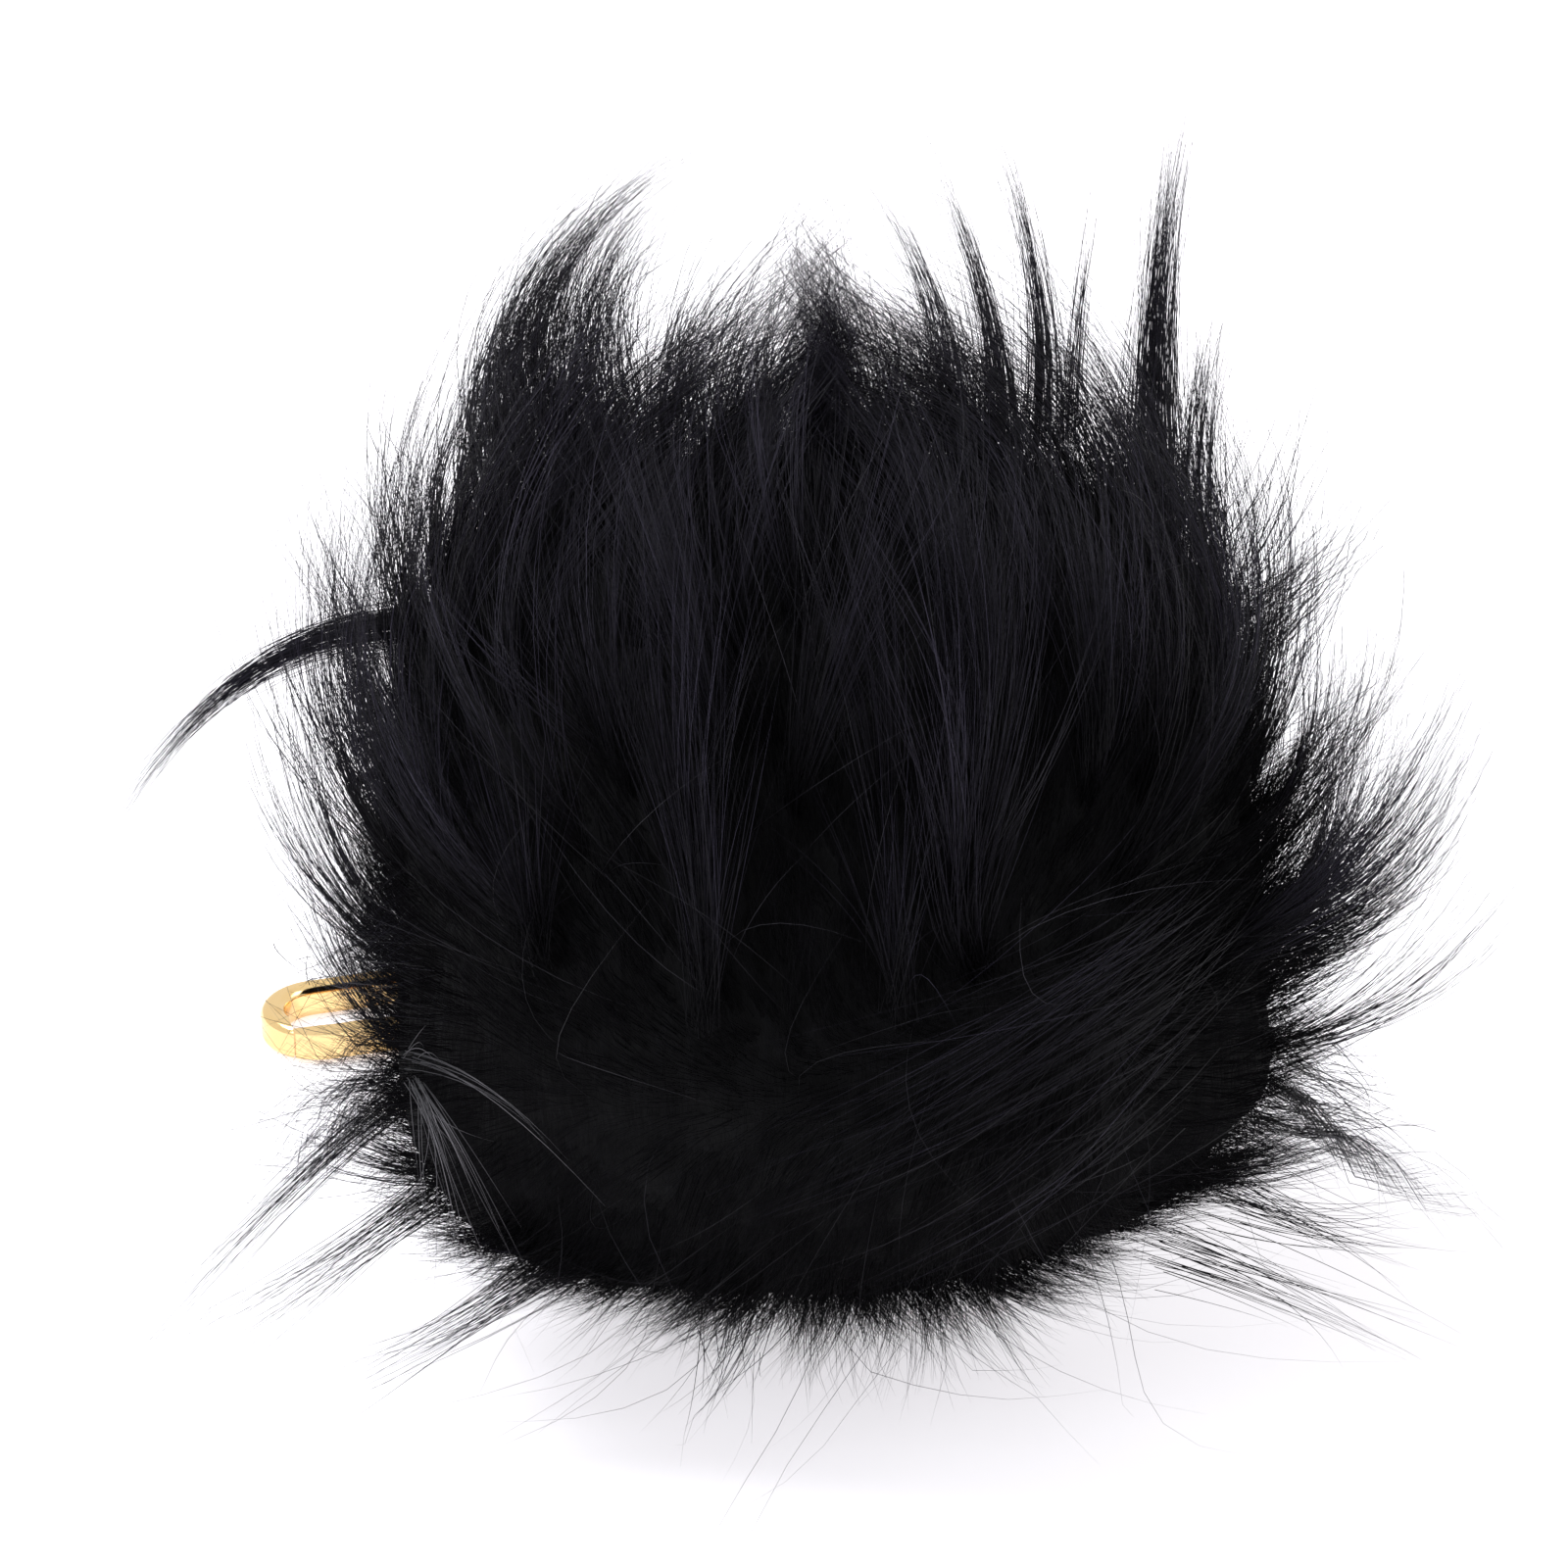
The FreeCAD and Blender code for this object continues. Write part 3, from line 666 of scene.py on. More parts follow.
COATS = (
    Coat(
        "underfur", hairs=46000, clumps=2600, segments=3, length=(8.0, 14.0), lift=(0.42, 0.22),
        thickness=0.085, gather=0.75, bundle=0.0, fan=0.0, turn=0.25, stray=0.25, wander=1.0, parts=6,
        seed=11, finish=DULL_HAIR,
    ),
    Coat(
        "guard_hair", hairs=14500, clumps=230, segments=7, length=(24.0, 44.0), lift=(0.36, 0.12),
        thickness=0.11, gather=0.0, bundle=0.8, fan=0.17, turn=0.22, stray=0.0, wander=1.2, parts=4,
        seed=23, finish=DYED_HAIR,
    ),
    Coat(
        "loose_hair", hairs=480, clumps=480, segments=8, length=(20.0, 42.0), lift=(0.42, 0.24),
        thickness=0.075, gather=0.0, bundle=0.0, fan=0.0, turn=0.8, stray=1.0, wander=6.0, parts=1,
        seed=29, finish=FREE_HAIR,
    ),
)
# Strands in a clump.
STRANDS = 12


@dataclass
class Hairs:
    """Hairs as rows of points in millimetres, each row from root to tip."""

    points: np.ndarray
    thickness: np.ndarray
    shade: np.ndarray

    def part(self, chosen: np.ndarray) -> "Hairs":
        """Some of the hairs."""
        return Hairs(self.points[chosen], self.thickness[chosen], self.shade[chosen])


def even_directions(count: int, spread: float, generator: np.random.Generator) -> np.ndarray:
    """Directions spread evenly over a ball, each a little off its even place."""
    index = np.arange(count) + 0.5
    height = 1.0 - 2.0 * index / count
    angle = index * math.pi * (3.0 - math.sqrt(5.0))
    flat = np.sqrt(1.0 - height**2)
    even = np.stack([flat * np.cos(angle), flat * np.sin(angle), height], axis=1)
    off = generator.normal(size=even.shape) * spread / math.sqrt(count)
    return unit(even + off)


def nearest(directions: np.ndarray, centres: np.ndarray, rows: int = 4000) -> np.ndarray:
    """For each direction the number of the centre that is nearest to it."""
    starts = range(0, len(directions), rows)
    found = [np.argmax(directions[start : start + rows] @ centres.T, axis=1) for start in starts]
    return np.concatenate(found)


@dataclass(frozen=True)
class ClearWay:
    """A round way that the hair is parted along, as round the strap and the metal."""

    start: Place
    end: Place
    radius: float

    def part(self, points: np.ndarray) -> np.ndarray:
        """Points in the way are pushed out of it, and a little up."""
        start, along = np.array(self.start), np.array(self.end) - np.array(self.start)
        share = np.clip((points - start) @ along / (along @ along), 0.0, 1.0)
        offset = points - (start + share[..., None] * along)
        away = np.linalg.norm(offset, axis=-1, keepdims=True)
        pushed = unit(offset + np.array([0.0, 0.0, 0.6 * self.radius]))
        target = points - offset + pushed * self.radius
        return np.where(away < self.radius, target, points)


@dataclass
class Comb:
    """Grows a coat on the ball and combs it. Lengths are in millimetres, the rest shares or radians."""

    groom: Groom
    clear_ways: tuple[ClearWay, ...]
    hair_scatter: float = 1.6
    clump_scatter: float = 1.4
    clump_rise: float = 0.07
    clump_lengths: tuple[float, float] = (0.72, 1.18)
    strand_rise: float = 0.3
    hair_fan: float = 0.15
    holds: tuple[float, float] = (0.55, 1.0)
    stray_hold: float = 0.15
    hold_bend: float = 1.3
    thicknesses: tuple[float, float] = (0.7, 1.2)
    low_share: float = 0.36
    low_heights: tuple[float, float] = (-0.85, -0.35)
    root_depth: float = 1.0
    lifts: tuple[float, float] = (0.04, 0.95)
    stiffness: float = 0.45
    spare_share: float = 0.03
    spare: float = 8.5
    floor_gap: float = 0.35
    floor_step: float = 0.04
    floor_run: float = 7.0
    press_from: float = 6.0
    press: float = 0.5

    def grow(self, coat: Coat) -> Hairs:
        """Grows one layer of the coat.

        Args:
            coat: the layer.

        Returns:
            Its hairs, parted and above the floor.
        """
        generator = np.random.default_rng(coat.seed)
        roots = even_directions(coat.hairs, self.hair_scatter, generator)
        centres = even_directions(coat.clumps, self.clump_scatter, generator)
        clump = nearest(roots, centres)
        roots = unit(roots + (centres[clump] - roots) * coat.bundle)
        turn = generator.normal(scale=coat.turn, size=coat.clumps)
        rise = generator.normal(scale=self.clump_rise, size=coat.clumps)
        longer = generator.uniform(*self.clump_lengths, size=coat.clumps) * self.kept_length(centres, coat)
        strand = generator.integers(0, STRANDS, coat.hairs)
        strands = (coat.clumps, STRANDS)
        aside = generator.normal(scale=coat.fan, size=strands)[clump, strand]
        above = generator.normal(scale=self.strand_rise * coat.fan, size=strands)[clump, strand]
        aside = aside + generator.normal(scale=self.hair_fan * coat.fan, size=coat.hairs)
        length = generator.uniform(*coat.length, size=coat.hairs) * longer[clump]
        guides = self.lay(centres, np.mean(coat.length) * longer, turn, rise, coat)
        points = self.lay(roots, length, turn[clump] + aside, rise[clump] + above, coat)
        along = np.linspace(0.0, 1.0, coat.segments + 1)[None, :, None]
        hold = coat.gather * generator.uniform(*self.holds, size=(coat.hairs, 1, 1))
        strays = generator.random((coat.hairs, 1, 1)) < coat.stray
        hold = np.where(strays, self.stray_hold * coat.gather, hold)
        share = (length / (np.mean(coat.length) * longer[clump]))[:, None, None]
        guide = guides[clump, :1] + (guides[clump] - guides[clump, :1]) * share
        points = points + (guide - points) * hold * along**self.hold_bend
        drift = generator.normal(scale=coat.wander, size=(coat.hairs, 1, 3))
        points = points + drift * along**2
        group = generator.integers(0, SHADES // SHADES_PER_STRAND, size=strands)[clump, strand]
        shade = group * SHADES_PER_STRAND + generator.integers(0, SHADES_PER_STRAND, coat.hairs)
        thickness = coat.thickness * generator.uniform(*self.thicknesses, size=coat.hairs)
        kept = ~(self.groom.is_bare(centres)[clump] & (coat.bundle > 0.0))
        return Hairs(self.settle(points), thickness, shade).part(kept)

    def kept_length(self, directions: np.ndarray, coat: Coat) -> np.ndarray:
        """How much of its length long hair keeps, which is less where it grows low down."""
        if not coat.bundle:
            return np.ones(len(directions))
        up = np.minimum(directions @ FACING.axes[1], directions[:, 2])
        return self.low_share + (1.0 - self.low_share) * smooth_step(up, *self.low_heights)

    def lay(
        self, roots: np.ndarray, length: np.ndarray, turn: np.ndarray, rise: np.ndarray, coat: Coat
    ) -> np.ndarray:
        """Lays hairs along the surface, each a run of straight steps.

        Args:
            roots: directions of the roots from the middle of the ball.
            length: length of each hair.
            turn: how far each hair turns aside, in radians.
            rise: how much more each hair stands up.
            coat: the layer, for its lift and its number of steps.

        Returns:
            The points of each hair.
        """
        middle = np.array(FACING.middle)
        point = middle + roots * (self.groom.reach(roots) - self.root_depth)[:, None]
        rows = [point]
        direction = None
        for step in range(coat.segments):
            normal = unit(point - middle)
            flow, standing = self.groom.lie(normal)
            aside = np.cross(normal, flow)
            flow = flow * np.cos(turn)[:, None] + aside * np.sin(turn)[:, None]
            share = step / max(coat.segments - 1, 1)
            lift = coat.lift[0] + (coat.lift[1] - coat.lift[0]) * share + rise + standing
            lift = np.clip(lift, *self.lifts)[:, None]
            aim = unit(flow * (1.0 - lift) + normal * lift)
            if direction is not None:
                aim = unit(direction * self.stiffness + aim * (1.0 - self.stiffness))
            direction = aim
            point = point + direction * (length / coat.segments)[:, None]
            rows.append(point)
        return np.stack(rows, axis=1)

    def within_room(self, points: np.ndarray) -> np.ndarray:
        """Shortens hairs that would reach too far beyond the construction."""
        low, high = (np.array(corner) / MM for corner in CAD_BOX)
        spare = self.spare_share * (high - low) + self.spare
        low, high = low - spare, high + spare
        root = points[:, :1]
        reach = points - root
        with np.errstate(divide="ignore", invalid="ignore"):
            above = np.where(points > high, (high - root) / reach, 1.0)
            below = np.where(points < low, (low - root) / reach, 1.0)
        share = np.minimum(above, below).min(axis=(1, 2))
        return root + reach * share[:, None, None]

    def settle(self, points: np.ndarray) -> np.ndarray:
        """Hairs parted along the clear ways, above the floor and within the charm's room."""
        points = self.within_room(points)
        for way in self.clear_ways:
            points = way.part(points)
        low = self.floor_gap + self.floor_step * np.abs(points[..., 0] % self.floor_run)
        height = points[..., 2]
        height = np.where(height < self.press_from, low + (height - low) * self.press, height)
        points[..., 2] = np.maximum(height, low)
        return points


@dataclass(frozen=True)
class Lock:
    """A lock of long hair, drawn to a point: its root, the middle of its bow, and its tip.

    Width is across its root, spread is across its tips, and loose is the share of hairs that go their own
    way.
    """

    root: Place
    bow: Place
    tip: Place
    hairs: int
    width: float
    spread: float = 1.2
    loose: float = 0.12
    loose_spread: float = 2.4
    bow_width: float = 0.55
    bow_spread: float = 0.35
    tip_width: float = 0.12
    shortening: float = 0.55
    rarity: float = 1.6
    thickness: tuple[float, float] = (0.075, 0.125)
    segments: int = 8

    def draw(self, generator: np.random.Generator) -> Hairs:
        """Draws the lock's hairs, each a curve from the root by the bow towards the tip."""
        root, bow, tip = (FACING.point(place) for place in (self.root, self.bow, self.tip))
        disc = generator.normal(size=(self.hairs, 3)) * self.width * 0.5
        fan = generator.normal(size=(self.hairs, 3)) * self.spread
        start = root + disc
        through = bow * 2.0 - (root + tip) / 2.0 + disc * self.bow_width + fan * self.bow_spread
        reach = 1.0 - self.shortening * generator.random((self.hairs, 1)) ** self.rarity
        wild = generator.random((self.hairs, 1)) < self.loose
        end = tip + fan * np.where(wild, self.loose_spread, 1.0) + disc * self.tip_width
        share = np.linspace(0.0, 1.0, self.segments + 1)[None, :, None] * reach[:, :, None]
        curve = (
            start[:, None] * (1.0 - share) ** 2
            + through[:, None] * 2.0 * share * (1.0 - share)
            + end[:, None] * share**2
        )
        thickness = generator.uniform(*self.thickness, size=self.hairs)
        return Hairs(curve, thickness, generator.integers(0, SHADES, size=self.hairs))


def whole_numbers(items: Any, name: str) -> np.ndarray:
    """One whole number of each item of a mesh."""
    values = np.zeros(len(items), np.int32)
    items.foreach_get(name, values)
    return values


class HairMaker:
    """Turns rows of points into closed three-sided hairs that taper to a tip."""

    def __init__(self) -> None:
        """Builds the node group that sweeps a small round along each hair."""
        group = bpy.data.node_groups.new("sweep_hair", "GeometryNodeTree")
        group.interface.new_socket("Geometry", in_out="INPUT", socket_type="NodeSocketGeometry")
        group.interface.new_socket("Geometry", in_out="OUTPUT", socket_type="NodeSocketGeometry")
        self.info = group.nodes.new("GeometryNodeObjectInfo")
        profile = group.nodes.new("GeometryNodeCurvePrimitiveCircle")
        profile.inputs["Resolution"].default_value = HAIR_SIDES
        profile.inputs["Radius"].default_value = 1.0
        straight = group.nodes.new("GeometryNodeCurveSplineType")
        straight.spline_type = "POLY"
        sweep = group.nodes.new("GeometryNodeCurveToMesh")
        sweep.inputs["Fill Caps"].default_value = True
        if "Scale" in sweep.inputs:
            radius = group.nodes.new("GeometryNodeInputRadius")
            group.links.new(radius.outputs[0], sweep.inputs["Scale"])
        output = group.nodes.new("NodeGroupOutput")
        group.links.new(self.info.outputs["Geometry"], straight.inputs["Curve"])
        group.links.new(straight.outputs["Curve"], sweep.inputs["Curve"])
        group.links.new(profile.outputs["Curve"], sweep.inputs["Profile Curve"])
        group.links.new(sweep.outputs["Mesh"], output.inputs[0])
        self.group = group

    def piece(self, name: str, hairs: Hairs, material: bpy.types.Material) -> bpy.types.Object:
        """Makes one piece of hair.

        Args:
            name: the piece's name.
            hairs: its hairs.
            material: its finish.

        Returns:
            The mesh object, at the origin.
        """
        count, rings = hairs.points.shape[:2]
        curves = bpy.data.hair_curves.new(f"{name}_lines")
        curves.add_curves([rings] * count)
        curves.position_data.foreach_set("vector", (hairs.points * MM).astype(np.float32).ravel())
        along = np.linspace(0.0, 1.0, rings)
        taper = np.clip(1.0 - along**TAPER, TIP_WIDTH, 1.0)
        radius = curves.attributes.new("radius", "FLOAT", "POINT")
        widths = hairs.thickness[:, None] * taper[None, :] * 0.5 * MM
        radius.data.foreach_set("value", widths.astype(np.float32).ravel())
        lines = bpy.data.objects.new(f"{name}_lines", curves)
        host = bpy.data.objects.new(name, bpy.data.meshes.new(name))
        for made in (lines, host):
            bpy.context.scene.collection.objects.link(made)
        self.info.inputs["Object"].default_value = lines
        modifier = host.modifiers.new("sweep", "NODES")
        modifier.node_group = self.group
        view = bpy.context.evaluated_depsgraph_get()
        mesh = bpy.data.meshes.new_from_object(host.evaluated_get(view))
        host.modifiers.clear()
        host.data = mesh
        mesh.name = name
        bpy.data.objects.remove(lines)
        bpy.data.hair_curves.remove(curves)
        mesh.materials.clear()
        mesh.materials.append(material)
        mesh.shade_smooth()
        self.map_hairs(mesh, rings, hairs.shade)
        return host

    @staticmethod
    def map_hairs(mesh: bpy.types.Mesh, rings: int, shade: np.ndarray) -> None:
        """Gives each hair a narrow upright strip of the UV map, in the column of its shade."""
        corners = whole_numbers(mesh.loops, "vertex_index")
        starts = whole_numbers(mesh.polygons, "loop_start")
        totals = whole_numbers(mesh.polygons, "loop_total")
        hair = corners // (rings * HAIR_SIDES)
        ring = corners % (rings * HAIR_SIDES) // HAIR_SIDES
        side = corners % HAIR_SIDES
        lowest, highest = np.minimum.reduceat(side, starts), np.maximum.reduceat(side, starts)
        closing = np.repeat((totals == 4) & (highest - lowest == HAIR_SIDES - 1), totals)
        side = np.where(closing & (side == 0), HAIR_SIDES, side)
        across = (shade[hair] + COLUMN[0] + COLUMN[1] * side / HAIR_SIDES) / SHADES
        along = RUN[0] + RUN[1] * ring / (rings - 1)
        places = np.stack([across, along], axis=1).astype(np.float32).ravel()
        for name in ("hair", "OFBake"):
            layer = mesh.uv_layers.get(name) or mesh.uv_layers.new(name=name)
            layer.data.foreach_set("uv", places)


@dataclass
class FurBall:
    """The furry outside of the ball: the deep of its pile, three layers of coat, and the long locks."""

    groom: Groom = field(default_factory=Groom)
    body_levels: int = 6
    tuft_scale: float = 9.0
    tuft_height: float = 0.9
    body_floor: float = 1.2
    clear_ways: tuple[ClearWay, ...] = (
        ClearWay((0.0, 26.0, 30.0), (0.0, 60.0, 3.4), 4.6),
        ClearWay((0.0, 58.0, 3.0), (-4.0, 68.0, 2.5), 8.5),
        ClearWay((-4.0, 66.0, 2.0), (-31.0, 69.0, 2.0), 5.0),
        ClearWay((-28.0, 68.5, 2.0), (-62.0, 57.5, 2.0), 9.0),
    )
    locks: tuple[Lock, ...] = (
        # The big tuft at the upper left, and the small ones beside it.
        Lock((-27.5, 41, 2), (-28.5, 60, -2), (-12.5, 75.5, -4), 320, 6.5, 1.8),
        Lock((-23, 42, 6), (-23, 58, 2), (-14.5, 70, 0), 260, 6, 2),
        Lock((-32.5, 38, 2), (-32.5, 54, 0), (-21.5, 69, -2), 200, 5, 1.8),
        Lock((-29, 36, 12), (-32, 48, 8), (-28, 58, 4), 160, 5, 2.6),
        Lock((-14, 44, 2), (-14.5, 53, 0), (-12, 61, -2), 130, 4.5, 1.8),
        Lock((-9, 44, 2), (-9, 50, 0), (-6.5, 57, -2), 90, 3.5, 1.8),
        # The tuft left of the middle that bows over to the left, and the thin spikes.
        Lock((2, 41, 3), (0.5, 54, 0), (-7, 64.5, -3), 190, 5, 2.2),
        Lock((7, 42, 1), (6, 53, 0), (-1, 62.5, -2), 150, 5, 2.4),
        Lock((11, 43, 0), (10, 53, 0), (4, 60, -2), 90, 4, 2.2),
        Lock((13, 44, 2), (11, 59, 0), (3, 74, -2), 110, 3, 1.1),
        Lock((18, 44, 2), (15.8, 60, 0), (9, 76.5, -2), 120, 2.6, 0.9),
        Lock((22, 44, 2), (21.5, 61, 0), (16.5, 79, -2), 120, 2.6, 0.9),
        Lock((25, 44, 1), (26.2, 58, 0), (28.5, 75, -2), 40, 1.4, 0.7),
        # The tall lock at the upper right, and its neighbour.
        Lock((33.5, 36, 4), (34, 58, 0), (37.2, 79.5, -2), 300, 3.6, 1.2),
        Lock((38, 34, 2), (38.5, 48, 0), (40.5, 60, -2), 120, 3.2, 1.6),
        # The dark lock that reaches out to the left.
        Lock((-38, 25, 4), (-57.5, 20.6, 2), (-73.2, 3.5, 0), 170, 2.2, 0.6, loose=0.04),
        Lock((-43, 22, 2), (-50, 30, 0), (-56.5, 46, -2), 34, 2.6, 2, loose=0.3),
        Lock((-42, 28, 2), (-45, 38, 0), (-50, 44.5, -2), 30, 3, 2.6, loose=0.3),
        Lock((-40, 32, 2), (-42.5, 40, 0), (-43, 50, -2), 34, 5, 3.4, loose=0.3),
        # The fuzz in front of the metal.
        Lock((-36, -6, 12), (-43, -8, 10), (-47.5, -10, 6), 420, 10, 3.4),
        # The long whiskers that fan out to the right.
        Lock((42, 30, 2), (46, 40, 0), (47, 52, -2), 40, 5, 3.4),
        Lock((43, 24, 2), (50, 31, 0), (54.5, 39, -2), 100, 5, 3),
        Lock((42, -4, 8), (57, 6, 4), (69, 28.5, 0), 90, 4.4, 2, loose=0.3),
        Lock((42, -6, 8), (58, 2, 4), (68, 21.5, 0), 90, 4.4, 2, loose=0.3),
        Lock((43, -8, 8), (58, -2, 4), (65.5, 13, 0), 90, 4.4, 2.2, loose=0.3),
        Lock((43, 6, 4), (52, 14, 0), (60, 25.5, -2), 120, 6, 3.4, loose=0.3),
        Lock((43, -10, 6), (54, -6, 2), (62, 4, 0), 100, 5, 3, loose=0.3),
        Lock((46, -22, 6), (53, -24, 2), (58.5, -27, 0), 120, 7, 3),
        # The brooms on the front, narrow where they grow and open above.
        Lock((-11, -14, 39), (-12, 4, 46.5), (-15, 23, 42), 130, 1.4, 5.5, loose=0.2),
        Lock((-27, -8, 33), (-29, 3, 37.5), (-31, 16, 36), 90, 1.2, 5, loose=0.2),
        Lock((7, -13, 41), (7, -1, 47), (7, 12, 47), 80, 1.4, 4.5, loose=0.2),
        Lock((-35, -1, 25), (-39.5, 11, 28), (-43, 26, 20), 90, 1.6, 4, loose=0.2),
        Lock((-9, 6, 43.5), (-14, 26, 42), (-21, 46, 26), 130, 1.8, 4),
        Lock((16, 12, 40), (14, 29, 39.5), (9, 46, 28), 110, 1.8, 4),
        Lock((26, 12, 35.5), (26, 28, 35), (24, 43, 24), 110, 1.8, 3.6),
        # The swirl that crosses the lower right of the front.
        Lock((41, 0, 13), (26, -12, 38.5), (-1, -29, 37.5), 58, 7, 4.4),
        Lock((40, -8, 15), (22, -20, 38.5), (-7, -34, 34), 54, 7, 4.4),
        Lock((36, -4, 22), (20, -13, 41), (1, -22.5, 42.5), 40, 6, 3.8),
        Lock((33, -20, 19), (20, -30, 34.5), (3, -40, 28), 38, 7, 4.4),
        # The wisps at the lower left and along the bottom.
        Lock((-40, -21, 12), (-55, -34, 12), (-71.5, -52.5, 8), 44, 2.2, 1.4),
        Lock((-38, -32, 10), (-52, -42, 10), (-66, -51, 8), 50, 3, 2.4),
        Lock((-26, -38, 14), (-38, -46, 14), (-50.5, -52, 10), 56, 3, 2.2),
        Lock((-8, -41, 14), (-10, -48, 14), (-12.5, -53, 12), 46, 6, 3.4),
        Lock((34, -37, 10), (48, -42, 10), (60.5, -47.5, 6), 40, 3.4, 2),
        Lock((40, -32, 8), (52, -36, 8), (60, -37, 4), 44, 3.4, 2.4),
    )
    pale_locks: tuple[Lock, ...] = (
        Lock((-39.5, -20.5, 24), (-35, -27, 31), (-31.5, -37, 27), 22, 0.8, 2.2, loose=0.4),
        Lock((-39.5, -21, 24), (-37.5, -28, 29), (-35, -39, 25), 10, 1, 3, loose=0.5),
        Lock((-40, -18.5, 24), (-32, -21, 32), (-24.5, -27, 36), 7, 1.2, 1.8, loose=0.5),
        Lock((-40, -17.5, 24), (-37, -16, 30), (-34, -18, 33), 4, 0.8, 1.6, loose=0.5),
    )

    def build(self) -> None:
        """Builds every piece of the fur and fastens it to the ball."""
        maker = HairMaker()
        self.pile_body()
        comb = Comb(self.groom, self.clear_ways)
        for layer in COATS:
            hairs = comb.grow(layer)
            material = layer.finish.make()
            for number, part in enumerate(self.sectors(hairs, layer.parts), 1):
                self.fasten(maker.piece(f"{layer.name}_{number}", part, material))
        for name, locks, parts, finish, seed in (
            ("long_locks", self.locks, 3, LOCK_HAIR, 31),
            ("pale_hairs", self.pale_locks, 1, PALE_HAIR, 37),
        ):
            material = finish.make()
            for number, part in enumerate(self.sectors(self.draw(locks, comb, seed), parts), 1):
                self.fasten(maker.piece(f"{name}_{number}", part, material))

    def pile_body(self) -> None:
        """The deep of the pile, which closes the ball under its hairs."""
        mesh = bmesh.new()
        bmesh.ops.create_icosphere(mesh, subdivisions=self.body_levels, radius=1.0)
        for vertex in mesh.verts:
            direction = vertex.co.normalized()
            reach = self.groom.reach(np.array([direction]))[0]
            tufts = noise.fractal(direction * self.tuft_scale, 1.0, 2.0, 4)
            vertex.co = Vector(FACING.middle) * MM + direction * (reach + self.tuft_height * tufts) * MM
            vertex.co.z = max(vertex.co.z, self.body_floor * MM)
        piece = piece_from(mesh, "pile_deep", PileFinish().make())
        self.fasten(piece)
        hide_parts("fur_pile")

    @staticmethod
    def sectors(hairs: Hairs, count: int) -> list[Hairs]:
        """The hairs of each sector of the ball, seen from above."""
        root = hairs.points[:, 0]
        turn = np.arctan2(root[:, 0], -root[:, 1]) / (2.0 * math.pi) + 0.5
        sector = np.minimum((turn * count).astype(int), count - 1)
        return [hairs.part(sector == number) for number in range(count)]

    @staticmethod
    def draw(locks: tuple[Lock, ...], comb: Comb, seed: int) -> Hairs:
        """Draws long locks.

        Args:
            locks: the locks.
            comb: for parting them and keeping them off the floor.
            seed: seed of their unevenness.

        Returns:
            Their hairs.
        """
        generator = np.random.default_rng(seed)
        drawn = [lock.draw(generator) for lock in locks]
        points = comb.settle(np.concatenate([hairs.points for hairs in drawn]))
        thickness = np.concatenate([hairs.thickness for hairs in drawn])
        return Hairs(points, thickness, np.concatenate([hairs.shade for hairs in drawn]))

    @staticmethod
    def fasten(piece: bpy.types.Object) -> None:
        """Fastens a piece of the fur to the ball."""
        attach(piece, "ball")
        LOG.info("%s: %d faces", piece.name, len(piece.data.polygons))


